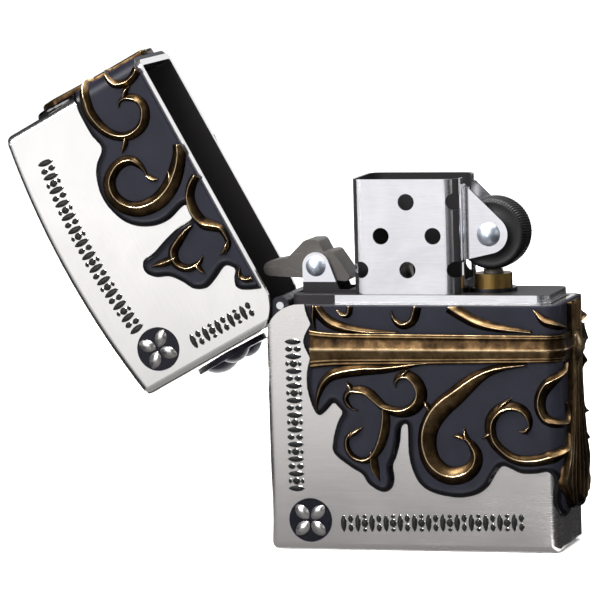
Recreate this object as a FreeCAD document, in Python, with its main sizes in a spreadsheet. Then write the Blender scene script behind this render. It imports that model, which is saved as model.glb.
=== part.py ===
import FreeCAD, Part
import math
import os

import Sketcher

# A flip-top windproof pocket lighter with a wrapped cast ornament, standing with its lid open.
# Millimetres. +Z is up, the front face looks along -Y, the hinge is on the -X side.
# The origin is the middle of the base. Lid pieces are built closed and their Placement swings them open.

V = FreeCAD.Vector
doc = FreeCAD.newDocument("lighter")
sheet = doc.addObject("Spreadsheet::Sheet", "sizes")

SIZES = {
    # outer case
    "case_width": 38.8,
    "case_depth": 13.4,
    "body_height": 32.2,
    "lid_height": 21.5,
    "lid_crown": 1.7,
    "case_wall": 0.8,
    "edge_round": 1.2,
    "rim_round": 0.9,
    "base_recess": 0.25,
    "base_margin": 5.0,
    "mouth_gap": 0.15,
    "lid_open_angle": 118.6,
    # hinge
    "hinge_inset": 1.9,
    "hinge_drop": 0.27,
    "hinge_corner_round": 4.8,
    "barrel_radius": 1.2,
    "pin_radius": 0.5,
    "pin_clearance": 0.04,
    "leaf_side_gap": 0.1,
    "knuckle_gap": 0.15,
    "leaf_thickness": 0.4,
    "leaf_height": 7.5,
    "leaf_relief": 2.5,
    "notch_drop": 2.8,
    # insert
    "insert_gap": 0.25,
    "insert_wall": 0.4,
    "insert_rise": 1.15,
    "insert_floor_gap": 0.5,
    "insert_corner_round": 1.6,
    "top_plate_thickness": 0.45,
    # chimney
    "chimney_width": 14.5,
    "chimney_depth": 10.4,
    "chimney_height": 14.95,
    "chimney_wall": 0.45,
    "chimney_round": 2.0,
    "chimney_offset": 0.65,
    "hole_radius": 1.08,
    "hole_pitch": 4.4,
    "hole_spread": 6.3,
    "hole_shift": 0.25,
    "hole_low": 3.2,
    # striking wheel
    "wheel_radius": 4.7,
    "wheel_thickness": 4.8,
    "wheel_reach": 3.35,
    "wheel_lift": 0.55,
    "wheel_side_gap": 0.15,
    "ear_thickness": 0.45,
    "ear_round": 2.5,
    "ear_drop": 1.3,
    "ear_root": 0.8,
    "rivet_radius": 0.9,
    "rivet_clearance": 0.05,
    "rivet_head_radius": 1.55,
    "rivet_head_height": 0.8,
    # flint feed
    "tube_radius": 2.0,
    "tube_bore": 1.4,
    "tube_offset": 0.2,
    "collar_radius": 2.45,
    "collar_height": 1.85,
    "washer_radius": 3.05,
    "washer_height": 0.5,
    "flint_radius": 1.25,
    "flint_length": 4.5,
    "flint_wheel_gap": 0.05,
    "plunger_length": 2.5,
    "spring_radius": 1.1,
    "spring_wire": 0.3,
    "spring_pitch": 1.25,
    "screw_length": 4.0,
    "screw_head_radius": 2.4,
    "screw_head_height": 0.9,
    "screw_slot_width": 0.7,
    "fit_gap": 0.1,
    # cam lever
    "cam_from_chimney": 5.4,
    "cam_rise": 3.45,
    "cam_thickness": 5.0,
    "cam_side_gap": 0.15,
    "cam_hub_rim": 0.35,
    "cam_slot_left": 2.6,
    "cam_slot_length": 6.9,
    "bracket_thickness": 0.4,
    "bracket_foot_start": 2.25,
    "bracket_foot_length": 3.0,
    "bracket_bridge": 0.9,
    "cam_rivet_radius": 0.7,
    "cam_head_radius": 1.35,
    "cam_head_height": 0.7,
    "cam_spring_thickness": 0.3,
    "cam_spring_width": 4.0,
    "cam_spring_drop": 1.2,
    "cam_spring_left": 1.5,
    "cam_spring_right": 7.0,
    "cam_spring_foot": 2.4,
    # filling
    "wick_radius": 1.5,
    "wick_x": -2.5,
    "wick_above_plate": 8.5,
    "wick_depth": 12.0,
    "packing_gap": 0.4,
    "pad_height": 3.2,
    # ornament
    "plate_thickness": 0.7,
    "relief_height": 0.75,
    "strap_height": 0.8,
    "boss_radius": 2.6,
    "boss_height": 1.4,
    "medallion_radius": 2.85,
    "case_medallion_in": 5.5,
    "case_medallion_up": 3.95,
    "lid_medallion_in": 4.8,
    "lid_medallion_down": 4.6,
    "medallion_sink": 0.3,
    "medallion_gap": 0.05,
    "medallion_proud": 0.1,
}

# The ornament is drawn for a case this size and stretched to the case's own size.
ART_WIDTH = 38.8
ART_DEPTH = 13.4
ART_BODY_HEIGHT = 32.2
ART_LID_HEIGHT = 21.5
BIG = 60.0


for row, (alias, start_value) in enumerate(SIZES.items(), 1):
    sheet.set("A%d" % row, alias)
    sheet.set("B%d" % row, str(start_value))
    sheet.setAlias("B%d" % row, alias)
doc.recompute()


def s(words):
    """Writes an expression's size names out in full: every name becomes sizes.name."""
    for name in sorted(SIZES, key=len, reverse=True):
        words = words.replace("$" + name, "sizes." + name)
    return words


def number(words):
    """The value that an expression of sheet sizes has now."""
    return float(sheet.evalExpression(s(words)))


# Expressions that several pieces share.
HINGE_X = "(-$case_width / 2 + $hinge_inset)"
HINGE_Z = "($body_height - $hinge_drop)"
LID_MOUTH = "($body_height + $mouth_gap)"
LID_TOP = "($body_height + $lid_height)"
ARCH_RADIUS = "(($case_width^2 / 4 + $lid_crown^2) / (2 * $lid_crown))"
PLATE_TOP = "($body_height + $insert_rise)"
INSERT_LEFT = "(" + HINGE_X + " + $barrel_radius + $insert_gap)"
INSERT_RIGHT = "($case_width / 2 - $case_wall - $insert_gap)"
INSERT_WIDTH = "(" + INSERT_RIGHT + " - " + INSERT_LEFT + ")"
INSERT_MIDDLE = "((" + INSERT_RIGHT + " + " + INSERT_LEFT + ") / 2)"
INSERT_DEPTH = "($case_depth - 2 * $case_wall - 2 * $insert_gap)"
INSERT_BOTTOM = "($case_wall + $insert_floor_gap)"
CHIMNEY_X = "(-$chimney_offset)"
WHEEL_X = "(" + CHIMNEY_X + " + $chimney_width / 2 + $wheel_reach)"
WHEEL_Z = "(" + PLATE_TOP + " + $collar_height + $washer_height + $wheel_lift + $wheel_radius)"
EAR_INNER = "($wheel_thickness / 2 + $wheel_side_gap)"
CAM_X = "(" + CHIMNEY_X + " - $chimney_width / 2 - $cam_from_chimney)"
CAM_Z = "(" + PLATE_TOP + " + $cam_rise)"
BRACKET_INNER = "($cam_thickness / 2 + $cam_side_gap)"

sub_parts = []


def keep(item, label):
    """Names a finished sub-part."""
    item.Label = label
    sub_parts.append(item)
    return item


def place(item, x="0", y="0", z="0"):
    """Binds an object's position to three expressions."""
    item.setExpression("Placement.Base.x", s(x))
    item.setExpression("Placement.Base.y", s(y))
    item.setExpression("Placement.Base.z", s(z))
    return item


def swing_open(item):
    """Places a lid piece, which is built closed: turns it about the hinge pin by the open angle."""
    to_pin = "placement(vector(%s; 0; %s); rotation(vector(0; -1; 0); $lid_open_angle))" % (HINGE_X, HINGE_Z)
    from_pin = "placement(vector(-%s; 0; -%s); rotation(vector(0; 1; 0); 0))" % (HINGE_X, HINGE_Z)
    item.setExpression("Placement", s(to_pin + " * " + from_pin))
    return item


def box(name, x, y, z, length, width, height):
    """A box with its low corner at x, y, z."""
    item = doc.addObject("Part::Box", name)
    for side, words in (("Length", length), ("Width", width), ("Height", height)):
        item.setExpression(side, s(words))
    return place(item, x, y, z)


TURNS = {
    "y": FreeCAD.Rotation(V(1, 0, 0), -90),
    "z": FreeCAD.Rotation(),
}


def rod(name, axis, x, y, z, radius, length):
    """A cylinder that starts at x, y, z and runs along +axis."""
    item = doc.addObject("Part::Cylinder", name)
    item.Placement = FreeCAD.Placement(V(0, 0, 0), TURNS[axis])
    item.setExpression("Radius", s(radius))
    item.setExpression("Height", s(length))
    return place(item, x, y, z)


def dome(name, x, y, z, radius, height, outward):
    """A rivet's domed head: a spherical cap whose flat side is at y, bulging towards -Y or +Y."""
    item = doc.addObject("Part::Sphere", name)
    ball = "((%s^2 + %s^2) / (2 * %s))" % (radius, height, height)
    item.Placement = FreeCAD.Placement(V(0, 0, 0), FreeCAD.Rotation(V(1, 0, 0), -90 * outward))
    item.setExpression("Radius", s(ball))
    item.setExpression("Angle1", s("asin(1 - %s / %s)" % (height, ball)))
    return place(item, x, "%s - %d * (%s - %s)" % (y, outward, ball, height), z)


def fuse(name, items):
    joined = doc.addObject("Part::MultiFuse", name)
    joined.Shapes = items
    return joined


def cut(name, base, tool):
    piece = doc.addObject("Part::Cut", name)
    piece.Base = base
    piece.Tool = tool
    return piece


def feature(name, shape):
    """A piece whose shape comes from Part's own functions."""
    item = doc.addObject("Part::Feature", name)
    item.Shape = shape
    return item


def origin_plane(body, role):
    return next(item for item in body.Origin.OriginFeatures if item.Role == role)


def sketch_on(body, name, role, along="0", up="0"):
    """A sketch on one of the body's own planes, moved along the plane's normal and up in the plane."""
    sketch = body.newObject("Sketcher::SketchObject", name)
    sketch.AttachmentSupport = [(origin_plane(body, role), "")]
    sketch.MapMode = "FlatFace"
    sketch.setExpression("AttachmentOffset.Base.z", s(along))
    sketch.setExpression("AttachmentOffset.Base.y", s(up))
    return sketch


def bind(sketch, constraint, words):
    index = sketch.addConstraint(constraint)
    sketch.setExpression("Constraints[%d]" % index, s(words))


def rounded_rectangle(sketch, width, depth, radius):
    """Draws a rectangle with four equal round corners, centred on the sketch's origin."""
    half_w = number(width) / 2
    half_d = number(depth) / 2
    r = number(radius)
    sides = [
        ((-half_w + r, -half_d), (half_w - r, -half_d)),
        ((half_w, -half_d + r), (half_w, half_d - r)),
        ((half_w - r, half_d), (-half_w + r, half_d)),
        ((-half_w, half_d - r), (-half_w, -half_d + r)),
    ]
    for start, end in sides:
        sketch.addGeometry(Part.LineSegment(V(*start, 0), V(*end, 0)))
    for turn, (sign_x, sign_y) in enumerate(((1, -1), (1, 1), (-1, 1), (-1, -1))):
        centre = V(sign_x * (half_w - r), sign_y * (half_d - r), 0)
        start = math.radians(90 * turn - 90)
        sketch.addGeometry(Part.ArcOfCircle(Part.Circle(centre, V(0, 0, 1), r), start, start + math.pi / 2))
    for side in range(4):
        sketch.addConstraint(Sketcher.Constraint("Tangent", side, 2, 4 + side, 1))
        sketch.addConstraint(Sketcher.Constraint("Tangent", 4 + side, 2, (side + 1) % 4, 1))
        sketch.addConstraint(Sketcher.Constraint(("Horizontal", "Vertical")[side % 2], side))
    for corner in (5, 6, 7):
        sketch.addConstraint(Sketcher.Constraint("Equal", 4, corner))
    sketch.addConstraint(Sketcher.Constraint("Symmetric", 0, 1, 2, 1, -1, 1))
    bind(sketch, Sketcher.Constraint("DistanceX", 3, 1, 1, 1, 2 * half_w), width)
    bind(sketch, Sketcher.Constraint("DistanceY", 0, 1, 2, 1, 2 * half_d), depth)
    bind(sketch, Sketcher.Constraint("Radius", 4, r), radius)


def circle(sketch, radius):
    """Draws a circle about the sketch's origin."""
    index = sketch.addGeometry(Part.Circle(V(0, 0, 0), V(0, 0, 1), number(radius)))
    sketch.addConstraint(Sketcher.Constraint("Coincident", index, 3, -1, 1))
    bind(sketch, Sketcher.Constraint("Radius", index, number(radius)), radius)


def pad_block(name, width, depth, radius, height):
    """A body padded up from its XY plane as a rounded block."""
    body = doc.addObject("PartDesign::Body", name)
    sketch = sketch_on(body, name + "_plan", "XY_Plane")
    rounded_rectangle(sketch, width, depth, radius)
    pad = body.newObject("PartDesign::Pad", name + "_pad")
    pad.Profile = sketch
    pad.setExpression("Length", s(height))
    doc.recompute()
    return body


def pocket(body, sketch, name, length, both_ways=False, upwards=False):
    """Cuts a sketch out of a body and checks that something came off."""
    before = body.Shape.Volume
    hole = body.newObject("PartDesign::Pocket", name)
    hole.Profile = sketch
    hole.Midplane = both_ways
    hole.Reversed = upwards
    hole.setExpression("Length", s(length))
    doc.recompute()
    if not body.Shape.Volume < before - 1e-6:
        raise RuntimeError(name + " removed nothing")


def hollow(body, name, width, depth, radius, top, length):
    """Pockets a rounded cavity down from the height top."""
    sketch = sketch_on(body, name + "_plan", "XY_Plane", along=top)
    rounded_rectangle(sketch, width, depth, radius)
    pocket(body, sketch, name, length)


def round_edges(body, name, radius, wanted):
    """Fillets the edges whose bounding box passes the test."""
    names = []
    for index, edge in enumerate(body.Shape.Edges, 1):
        if wanted(edge.BoundBox):
            names.append("Edge%d" % index)
    base = body.Tip
    fillet = body.newObject("PartDesign::Fillet", name)
    fillet.Base = (base, names)
    fillet.setExpression("Radius", s(radius))
    doc.recompute()


def belt(circles):
    """The outline of a belt drawn tight round circles (x, z, radius), listed anticlockwise, as a face."""
    count = len(circles)
    runs = []
    for index in range(count):
        x1, z1, r1 = circles[index]
        x2, z2, r2 = circles[(index + 1) % count]
        length = math.hypot(x2 - x1, z2 - z1)
        dx = (x2 - x1) / length
        dz = (z2 - z1) / length
        lean = (r1 - r2) / length
        side = math.sqrt(1 - lean * lean)
        nx = dx * lean + dz * side
        nz = dz * lean - dx * side
        runs.append((nx, nz, V(x1 + nx * r1, 0, z1 + nz * r1), V(x2 + nx * r2, 0, z2 + nz * r2)))
    edges = []
    for index in range(count):
        nx, nz, start, end = runs[index]
        next_nx, next_nz, next_start, _ = runs[(index + 1) % count]
        x, z, r = circles[(index + 1) % count]
        turn = math.atan2(nx * next_nz - nz * next_nx, nx * next_nx + nz * next_nz) % (2 * math.pi)
        middle = math.atan2(nz, nx) + turn / 2
        through = V(x + r * math.cos(middle), 0, z + r * math.sin(middle))
        edges.append(Part.LineSegment(start, end).toShape())
        edges.append(Part.Arc(end, through, next_start).toShape())
    return Part.Face(Part.Wire(edges))


def slab(face, low_y, high_y):
    """A face in the XZ plane made a slab between two values of Y."""
    face = face.copy()
    face.translate(V(0, low_y, 0))
    return face.extrude(V(0, high_y - low_y, 0))


def curved_outline(stretches):
    """A closed face: each stretch is a smooth curve through its points, a straight line where it has two."""
    edges = []
    for points in stretches:
        if len(points) == 2:
            edges.append(Part.LineSegment(points[0], points[1]).toShape())
        else:
            curve = Part.BSplineCurve()
            curve.interpolate(points)
            edges.append(curve.toShape())
    return Part.Face(Part.Wire(edges))


def ribbon(points, start_half, end_half):
    """A flat ribbon along a smooth curve: its half width goes from start_half to end_half."""
    curve = Part.BSplineCurve()
    curve.interpolate(points)
    steps = 4 * len(points)
    left = []
    right = []
    for step in range(steps + 1):
        share = step / steps
        at = curve.FirstParameter + share * (curve.LastParameter - curve.FirstParameter)
        point = curve.value(at)
        along = curve.tangent(at)[0]
        half = start_half + share * (end_half - start_half)
        across = V(-along.z, 0, along.x) * half
        left.append(point + across)
        right.append(point - across)
    right.reverse()
    return curved_outline([left, [left[-1], right[0]], right, [right[-1], left[0]]])


def rounded_prism(width, depth, radius, low, high):
    """A block with round vertical edges, centred on the Z axis."""
    block = Part.makeBox(width, depth, high - low, V(-width / 2, -depth / 2, low))
    upright = [edge for edge in block.Edges if edge.BoundBox.ZLength > (high - low) / 2]
    return block.makeFillet(radius, upright)


def case_ring(inner_offset, outer_offset, low, high):
    """The band round the case between two distances out from its walls."""
    width = number("$case_width")
    depth = number("$case_depth")
    radius = number("$edge_round")
    outer = rounded_prism(
        width + 2 * outer_offset, depth + 2 * outer_offset, radius + outer_offset, low, high)
    inner = rounded_prism(
        width + 2 * inner_offset, depth + 2 * inner_offset, radius + inner_offset, low, high)
    return outer.cut(inner)


# ---------------------------------------------------------------- outer case, lower shell

def corner_cutter(name, left, corner_z, upwards):
    """What is cut off at the hinge corner: a square block less a round of the corner's radius.

    left is the wall's place, corner_z the height of the corner; upwards is 1 for the lower shell's corner,
    which is at its top, and -1 for the lid's.
    """
    round_x = "(%s + $hinge_corner_round)" % left
    round_z = "(%s - %d * $hinge_corner_round)" % (corner_z, upwards)
    depth = "$case_depth + 2"
    low_z = round_z if upwards > 0 else "(%s - $hinge_corner_round)" % round_z
    block = box(name + "_block", left + " - 1", "-(%s) / 2" % depth, low_z,
                "$hinge_corner_round + 1", depth, "$hinge_corner_round")
    core = rod(name + "_core", "y", round_x, "-(%s) / 2" % depth, round_z, "$hinge_corner_round", depth)
    return cut(name, block, core)


LEAF_WIDTH = "($case_depth - 2 * $case_wall - 2 * $leaf_side_gap)"
KNUCKLE_LENGTH = "((%s - 4 * $knuckle_gap) / 5)" % LEAF_WIDTH

case_block = pad_block("case_block", "$case_width", "$case_depth", "$edge_round", "$body_height")
round_edges(case_block, "case_base_round", "$rim_round", lambda b: b.ZMax < 0.01)
hollow(case_block, "case_cavity", "$case_width - 2 * $case_wall", "$case_depth - 2 * $case_wall",
       "$edge_round - $case_wall", "$body_height", "$body_height - $case_wall")
recess = sketch_on(case_block, "base_recess_plan", "XY_Plane")
rounded_rectangle(recess, "$case_width - $base_margin", "$case_depth - $base_margin", "$edge_round")
pocket(case_block, recess, "base_recess_cut", "$base_recess", upwards=True)


def medallion_rods(name, x, y_face, z, radius, sink):
    """Two short rods let into the front and back faces, one through each medallion's place."""
    front = rod(name + "_front", "y", x, "-(%s)" % y_face, z, radius, sink)
    back = rod(name + "_back", "y", x, "(%s) - (%s)" % (y_face, sink), z, radius, sink)
    return fuse(name, [front, back])


CASE_MEDALLION = ("(-$case_width / 2 + $case_medallion_in)", "$case_medallion_up")
LID_MEDALLION = ("(-$case_width / 2 + $lid_medallion_in)", LID_TOP + " - $lid_medallion_down")
MEDALLION_HOLE = "($medallion_radius + $medallion_gap)"

case_sinks = medallion_rods("case_sinks", CASE_MEDALLION[0], "$case_depth / 2", CASE_MEDALLION[1],
                            MEDALLION_HOLE, "$medallion_sink")
case_corner = corner_cutter("case_corner", "-$case_width / 2", "$body_height", 1)
case_notch = box("case_notch", "-$case_width / 2 - 1", "-(%s + 2 * $knuckle_gap) / 2" % LEAF_WIDTH,
                 HINGE_Z + " - $notch_drop", "$case_wall + 1.2", LEAF_WIDTH + " + 2 * $knuckle_gap",
                 "$notch_drop + 2")
keep(cut("case_body", case_block, fuse("case_cuts", [case_corner, case_notch, case_sinks])), "case_body")

# ---------------------------------------------------------------- outer case, lid


def arched_block(name, inset, low):
    """The lid's block with its crowned top, set in from the lid's outer faces by inset."""
    body = pad_block(name, "$case_width - 2 * %s" % inset, "$case_depth - 2 * %s" % inset,
                     "$edge_round - %s" % inset, "%s + $lid_crown + 1 - (%s)" % (LID_TOP, low))
    radius = "(%s - %s)" % (ARCH_RADIUS, inset)
    centre = "%s + $lid_crown - %s - (%s)" % (LID_TOP, ARCH_RADIUS, low)
    arch = sketch_on(body, name + "_arch", "XZ_Plane", up=centre)
    rounded_rectangle(arch, "2 * %s + 40" % radius, "2 * %s + 40" % radius, "5")
    circle(arch, radius)
    pocket(body, arch, name + "_crown", "2 * $case_depth", both_ways=True)
    return place(body, "0", "0", low)


lid_block = arched_block("lid_block", "0", LID_MOUTH)
end_height = number("$lid_height - $mouth_gap")
round_edges(lid_block, "lid_rim_round", "$rim_round", lambda b: b.ZMin > end_height - 0.6)
lid_cavity = arched_block("lid_cavity", "$case_wall", LID_MOUTH + " - 1")
lid_sinks = medallion_rods("lid_sinks", LID_MEDALLION[0], "$case_depth / 2", LID_MEDALLION[1],
                           MEDALLION_HOLE, "$medallion_sink")
lid_corner = corner_cutter("lid_corner", "-$case_width / 2", LID_MOUTH, -1)
lid_notch = box("lid_notch", "-$case_width / 2 - 1", "-(%s + 2 * $knuckle_gap) / 2" % LEAF_WIDTH,
                HINGE_Z + " - 2", "$case_wall + 1.2", LEAF_WIDTH + " + 2 * $knuckle_gap", "$notch_drop + 2")
lid_cuts = fuse("lid_cuts", [lid_cavity, lid_corner, lid_notch, lid_sinks])
keep(swing_open(cut("case_lid", lid_block, lid_cuts)), "case_lid")

# ---------------------------------------------------------------- hinge


def hinge_leaf(name, first, upwards):
    """One leaf: a plate inside the wall and every second knuckle round the pin.

    first is 0 for the leaf that has the outer knuckles; upwards is 1 for the lid's leaf, -1 for the case's.
    """
    leaf_x = "(-$case_width / 2 + $case_wall)"
    plate_low = "$leaf_relief" if upwards > 0 else "-$leaf_height"
    plate_width = "(%s - 2 * ($edge_round - $case_wall))" % LEAF_WIDTH
    plate = box(name + "_plate", leaf_x, "-%s / 2" % plate_width, "%s + (%s)" % (HINGE_Z, plate_low),
                "$leaf_thickness", plate_width, "$leaf_height - $leaf_relief")
    pieces = [plate]
    for index in range(first, 5, 2):
        low_y = "(-%s / 2 + %d * (%s + $knuckle_gap))" % (LEAF_WIDTH, index, KNUCKLE_LENGTH)
        tag = "%s_%d" % (name, index)
        web_low = HINGE_Z if upwards > 0 else HINGE_Z + " - $leaf_relief"
        pieces.append(rod(tag + "_knuckle", "y", HINGE_X, low_y, HINGE_Z, "$barrel_radius",
                          KNUCKLE_LENGTH))
        pieces.append(box(tag + "_web", leaf_x, low_y, web_low, "$leaf_thickness", KNUCKLE_LENGTH,
                          "$leaf_relief"))
    bore = rod(name + "_bore", "y", HINGE_X, "-%s" % LEAF_WIDTH, HINGE_Z, "$pin_radius + $pin_clearance",
               "2 * %s" % LEAF_WIDTH)
    return cut(name, fuse(name + "_solid", pieces), bore)


keep(hinge_leaf("hinge_leaf_case", 0, -1), "hinge_leaf_case")
keep(swing_open(hinge_leaf("hinge_leaf_lid", 1, 1)), "hinge_leaf_lid")
keep(rod("hinge_pin", "y", HINGE_X, "-%s / 2" % LEAF_WIDTH, HINGE_Z, "$pin_radius", LEAF_WIDTH), "hinge_pin")

# ---------------------------------------------------------------- insert

insert = pad_block("insert_block", INSERT_WIDTH, INSERT_DEPTH, "$insert_corner_round",
                   "%s - $top_plate_thickness - %s" % (PLATE_TOP, INSERT_BOTTOM))
hollow(insert, "insert_bore", INSERT_WIDTH + " - 2 * $insert_wall", INSERT_DEPTH + " - 2 * $insert_wall",
       "$insert_corner_round - $insert_wall", "%s - $top_plate_thickness - %s" % (PLATE_TOP, INSERT_BOTTOM),
       "$body_height * 2")
place(insert, INSERT_MIDDLE, "0", INSERT_BOTTOM)
keep(insert, "insert_shell")

TUBE_X = "(%s - $tube_offset)" % WHEEL_X
plate = pad_block("plate_block", INSERT_WIDTH, INSERT_DEPTH, "$insert_corner_round", "$top_plate_thickness")
place(plate, INSERT_MIDDLE, "0", PLATE_TOP + " - $top_plate_thickness")
plate_low = PLATE_TOP + " - 2"
cam_slot = box("cam_slot", CAM_X + " - $cam_slot_left", "-%s" % BRACKET_INNER, plate_low,
               "$cam_slot_length", "2 * %s" % BRACKET_INNER, "4")
tube_hole = rod("tube_hole", "z", TUBE_X, "0", plate_low, "$tube_radius + $fit_gap", "4")
wick_hole = rod("wick_hole", "z", "$wick_x", "0", plate_low, "$wick_radius + $fit_gap", "4")
plate_holes = fuse("plate_holes", [cam_slot, tube_hole, wick_hole])
keep(cut("insert_top_plate", plate, plate_holes), "insert_top_plate")

# ---------------------------------------------------------------- chimney

chimney_block = pad_block("chimney_block", "$chimney_width", "$chimney_depth", "$chimney_round",
                          "$chimney_height")
hollow(chimney_block, "chimney_flue", "$chimney_width - 2 * $chimney_wall",
       "$chimney_depth - 2 * $chimney_wall", "$chimney_round - $chimney_wall", "$chimney_height",
       "$chimney_height * 2")
place(chimney_block, CHIMNEY_X, "0", PLATE_TOP)

# Each hole's row, counted up from the lowest, and its place across, in spreads from the middle.
AIR_HOLES = [(0, -1), (0, 0), (0, 1), (1, -0.55), (1, 0.55), (2, 0), (2, 1)]
air_holes = []
for row, column in AIR_HOLES:
    hole_x = "%s + $hole_shift + %s * $hole_spread" % (CHIMNEY_X, column)
    hole_z = "%s + $hole_low + %d * $hole_pitch" % (PLATE_TOP, row)
    for low_y in ("-$chimney_depth / 2 - 1", "$chimney_depth / 2 - $chimney_round"):
        air_holes.append(rod("air_hole", "y", hole_x, low_y, hole_z, "$hole_radius", "$chimney_round + 1"))
wheel_slot = box("wheel_slot", CHIMNEY_X + " + $chimney_width / 2 - 2", "-%s" % EAR_INNER,
                 PLATE_TOP + " + 1.5", "4", "2 * %s" % EAR_INNER, "$chimney_height")
flue = cut("flue", chimney_block, fuse("flue_cuts", air_holes + [wheel_slot]))

wheel_x = number(WHEEL_X)
wheel_z = number(WHEEL_Z)
wall_outer = number(CHIMNEY_X + " + $chimney_width / 2")
wall_inner = wall_outer - number("$chimney_wall")
ear_top = number(PLATE_TOP + " + $chimney_height - $ear_drop")
ear_outline = belt([
    (wheel_x, wheel_z, number("$ear_round")),
    (wall_inner + 0.5, ear_top, 0.5),
    (wall_inner + 0.5, wheel_z - number("$ear_round") - 0.3, 0.5),
])
ear_root = number("$ear_root")
ears = []
for side in (-1, 1):
    inner = side * number(EAR_INNER)
    outer = inner + side * number("$ear_thickness")
    bend = outer + side * ear_root
    root = Part.makeBox(wall_outer + ear_root - wall_inner, ear_root, BIG, V(wall_inner, min(outer, bend), 0))
    root = root.cut(Part.makeCylinder(ear_root, BIG, V(wall_outer + ear_root, bend, 0)))
    root = root.common(slab(ear_outline, min(outer, bend), max(outer, bend)))
    ear = slab(ear_outline, min(inner, outer), max(inner, outer)).fuse(root)
    ears.append(feature("ear_%s" % ("front" if side < 0 else "back"), ear))
ear_bore = rod("ear_bore", "y", WHEEL_X, "-$chimney_depth", WHEEL_Z, "$rivet_radius", "2 * $chimney_depth")
keep(cut("chimney", fuse("chimney_solid", [flue] + ears), ear_bore), "chimney")

# ---------------------------------------------------------------- striking wheel and its rivet

wheel_blank = rod("wheel_blank", "y", WHEEL_X, "-$wheel_thickness / 2", WHEEL_Z, "$wheel_radius",
                  "$wheel_thickness")
wheel_bore = rod("wheel_bore", "y", WHEEL_X, "-$wheel_thickness", WHEEL_Z, "$rivet_radius + $rivet_clearance",
                 "2 * $wheel_thickness")
keep(cut("flint_wheel", wheel_blank, wheel_bore), "flint_wheel")


def rivet(name, x, z, radius, head_radius, head_height, half_span):
    """A shank through two ears with a domed head outside each."""
    shank = rod(name + "_shank", "y", x, "-(%s)" % half_span, z, radius, "2 * (%s)" % half_span)
    heads = []
    for side in (-1, 1):
        heads.append(dome("%s_head_%s" % (name, "front" if side < 0 else "back"), x,
                          "%d * (%s)" % (side, half_span), z, head_radius, head_height, side))
    return fuse(name, [shank] + heads)


keep(rivet("wheel_rivet", WHEEL_X, WHEEL_Z, "$rivet_radius", "$rivet_head_radius", "$rivet_head_height",
           EAR_INNER + " + $ear_thickness"), "wheel_rivet")

# ---------------------------------------------------------------- flint feed

COLLAR_TOP = "(%s + $washer_height + $collar_height)" % PLATE_TOP
SCREW_TOP = "(%s + $screw_head_height + $screw_length)" % INSERT_BOTTOM
TUBE_BOTTOM = "(%s + $screw_head_height)" % INSERT_BOTTOM
FLINT_TOP = "(%s - $wheel_radius - $flint_wheel_gap)" % WHEEL_Z
tube_solid = fuse("tube_solid", [
    rod("tube_barrel", "z", TUBE_X, "0", TUBE_BOTTOM, "$tube_radius", "%s - %s" % (COLLAR_TOP, TUBE_BOTTOM)),
    rod("tube_collar", "z", TUBE_X, "0", PLATE_TOP + " + $washer_height", "$collar_radius",
        "$collar_height"),
])
tube_bore = rod("tube_bore_cut", "z", TUBE_X, "0", TUBE_BOTTOM + " - 1", "$tube_bore", "$body_height * 2")
keep(cut("flint_tube", tube_solid, tube_bore), "flint_tube")
washer_solid = rod("washer_solid", "z", TUBE_X, "0", PLATE_TOP, "$washer_radius", "$washer_height")
washer_bore = rod("washer_bore", "z", TUBE_X, "0", PLATE_TOP + " - 1", "$tube_radius + $fit_gap", "3")
keep(cut("tube_washer", washer_solid, washer_bore), "tube_washer")
FLINT_LOW = FLINT_TOP + " - $flint_length"
keep(rod("flint", "z", TUBE_X, "0", FLINT_LOW, "$flint_radius", "$flint_length"), "flint")
PLUNGER_LOW = "(%s - $flint_length - $plunger_length)" % FLINT_TOP
keep(rod("flint_plunger", "z", TUBE_X, "0", PLUNGER_LOW, "$flint_radius", "$plunger_length"), "flint_plunger")

screw_solid = fuse("screw_solid", [
    rod("screw_head", "z", TUBE_X, "0", INSERT_BOTTOM, "$screw_head_radius", "$screw_head_height"),
    rod("screw_shank", "z", TUBE_X, "0", INSERT_BOTTOM, "$tube_bore - $fit_gap / 2",
        "%s - %s" % (SCREW_TOP, INSERT_BOTTOM)),
])
screw_slot = box("screw_slot", TUBE_X + " - 4", "-$screw_slot_width / 2", INSERT_BOTTOM + " - 1", "8",
                 "$screw_slot_width", "1 + $screw_head_height / 2")
keep(cut("flint_screw", screw_solid, screw_slot), "flint_screw")

spring_low = number(SCREW_TOP + " + $fit_gap + $spring_wire / 2")
spring_high = number(PLUNGER_LOW + " - $fit_gap - $spring_wire / 2")
wire = number("$spring_wire") / 2
turns = max(3, round((spring_high - spring_low) / number("$spring_pitch")))
coil_radius = number("$spring_radius")
helix = Part.Wire(Part.makeHelix((spring_high - spring_low) / turns, spring_high - spring_low, coil_radius))
section = Part.Wire([Part.makeCircle(wire, V(coil_radius, 0, 0), V(0, 1, 0))])
coil = helix.makePipeShell([section], True, True)
coil.translate(V(number(TUBE_X), 0, spring_low))
keep(feature("flint_spring", coil), "flint_spring")

# ---------------------------------------------------------------- cam lever, its bracket, rivet and spring

cam_x = number(CAM_X)
cam_z = number(CAM_Z)
cam_half = number("$cam_thickness") / 2
cam_hub = number("$cam_head_radius + $cam_hub_rim")
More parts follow.
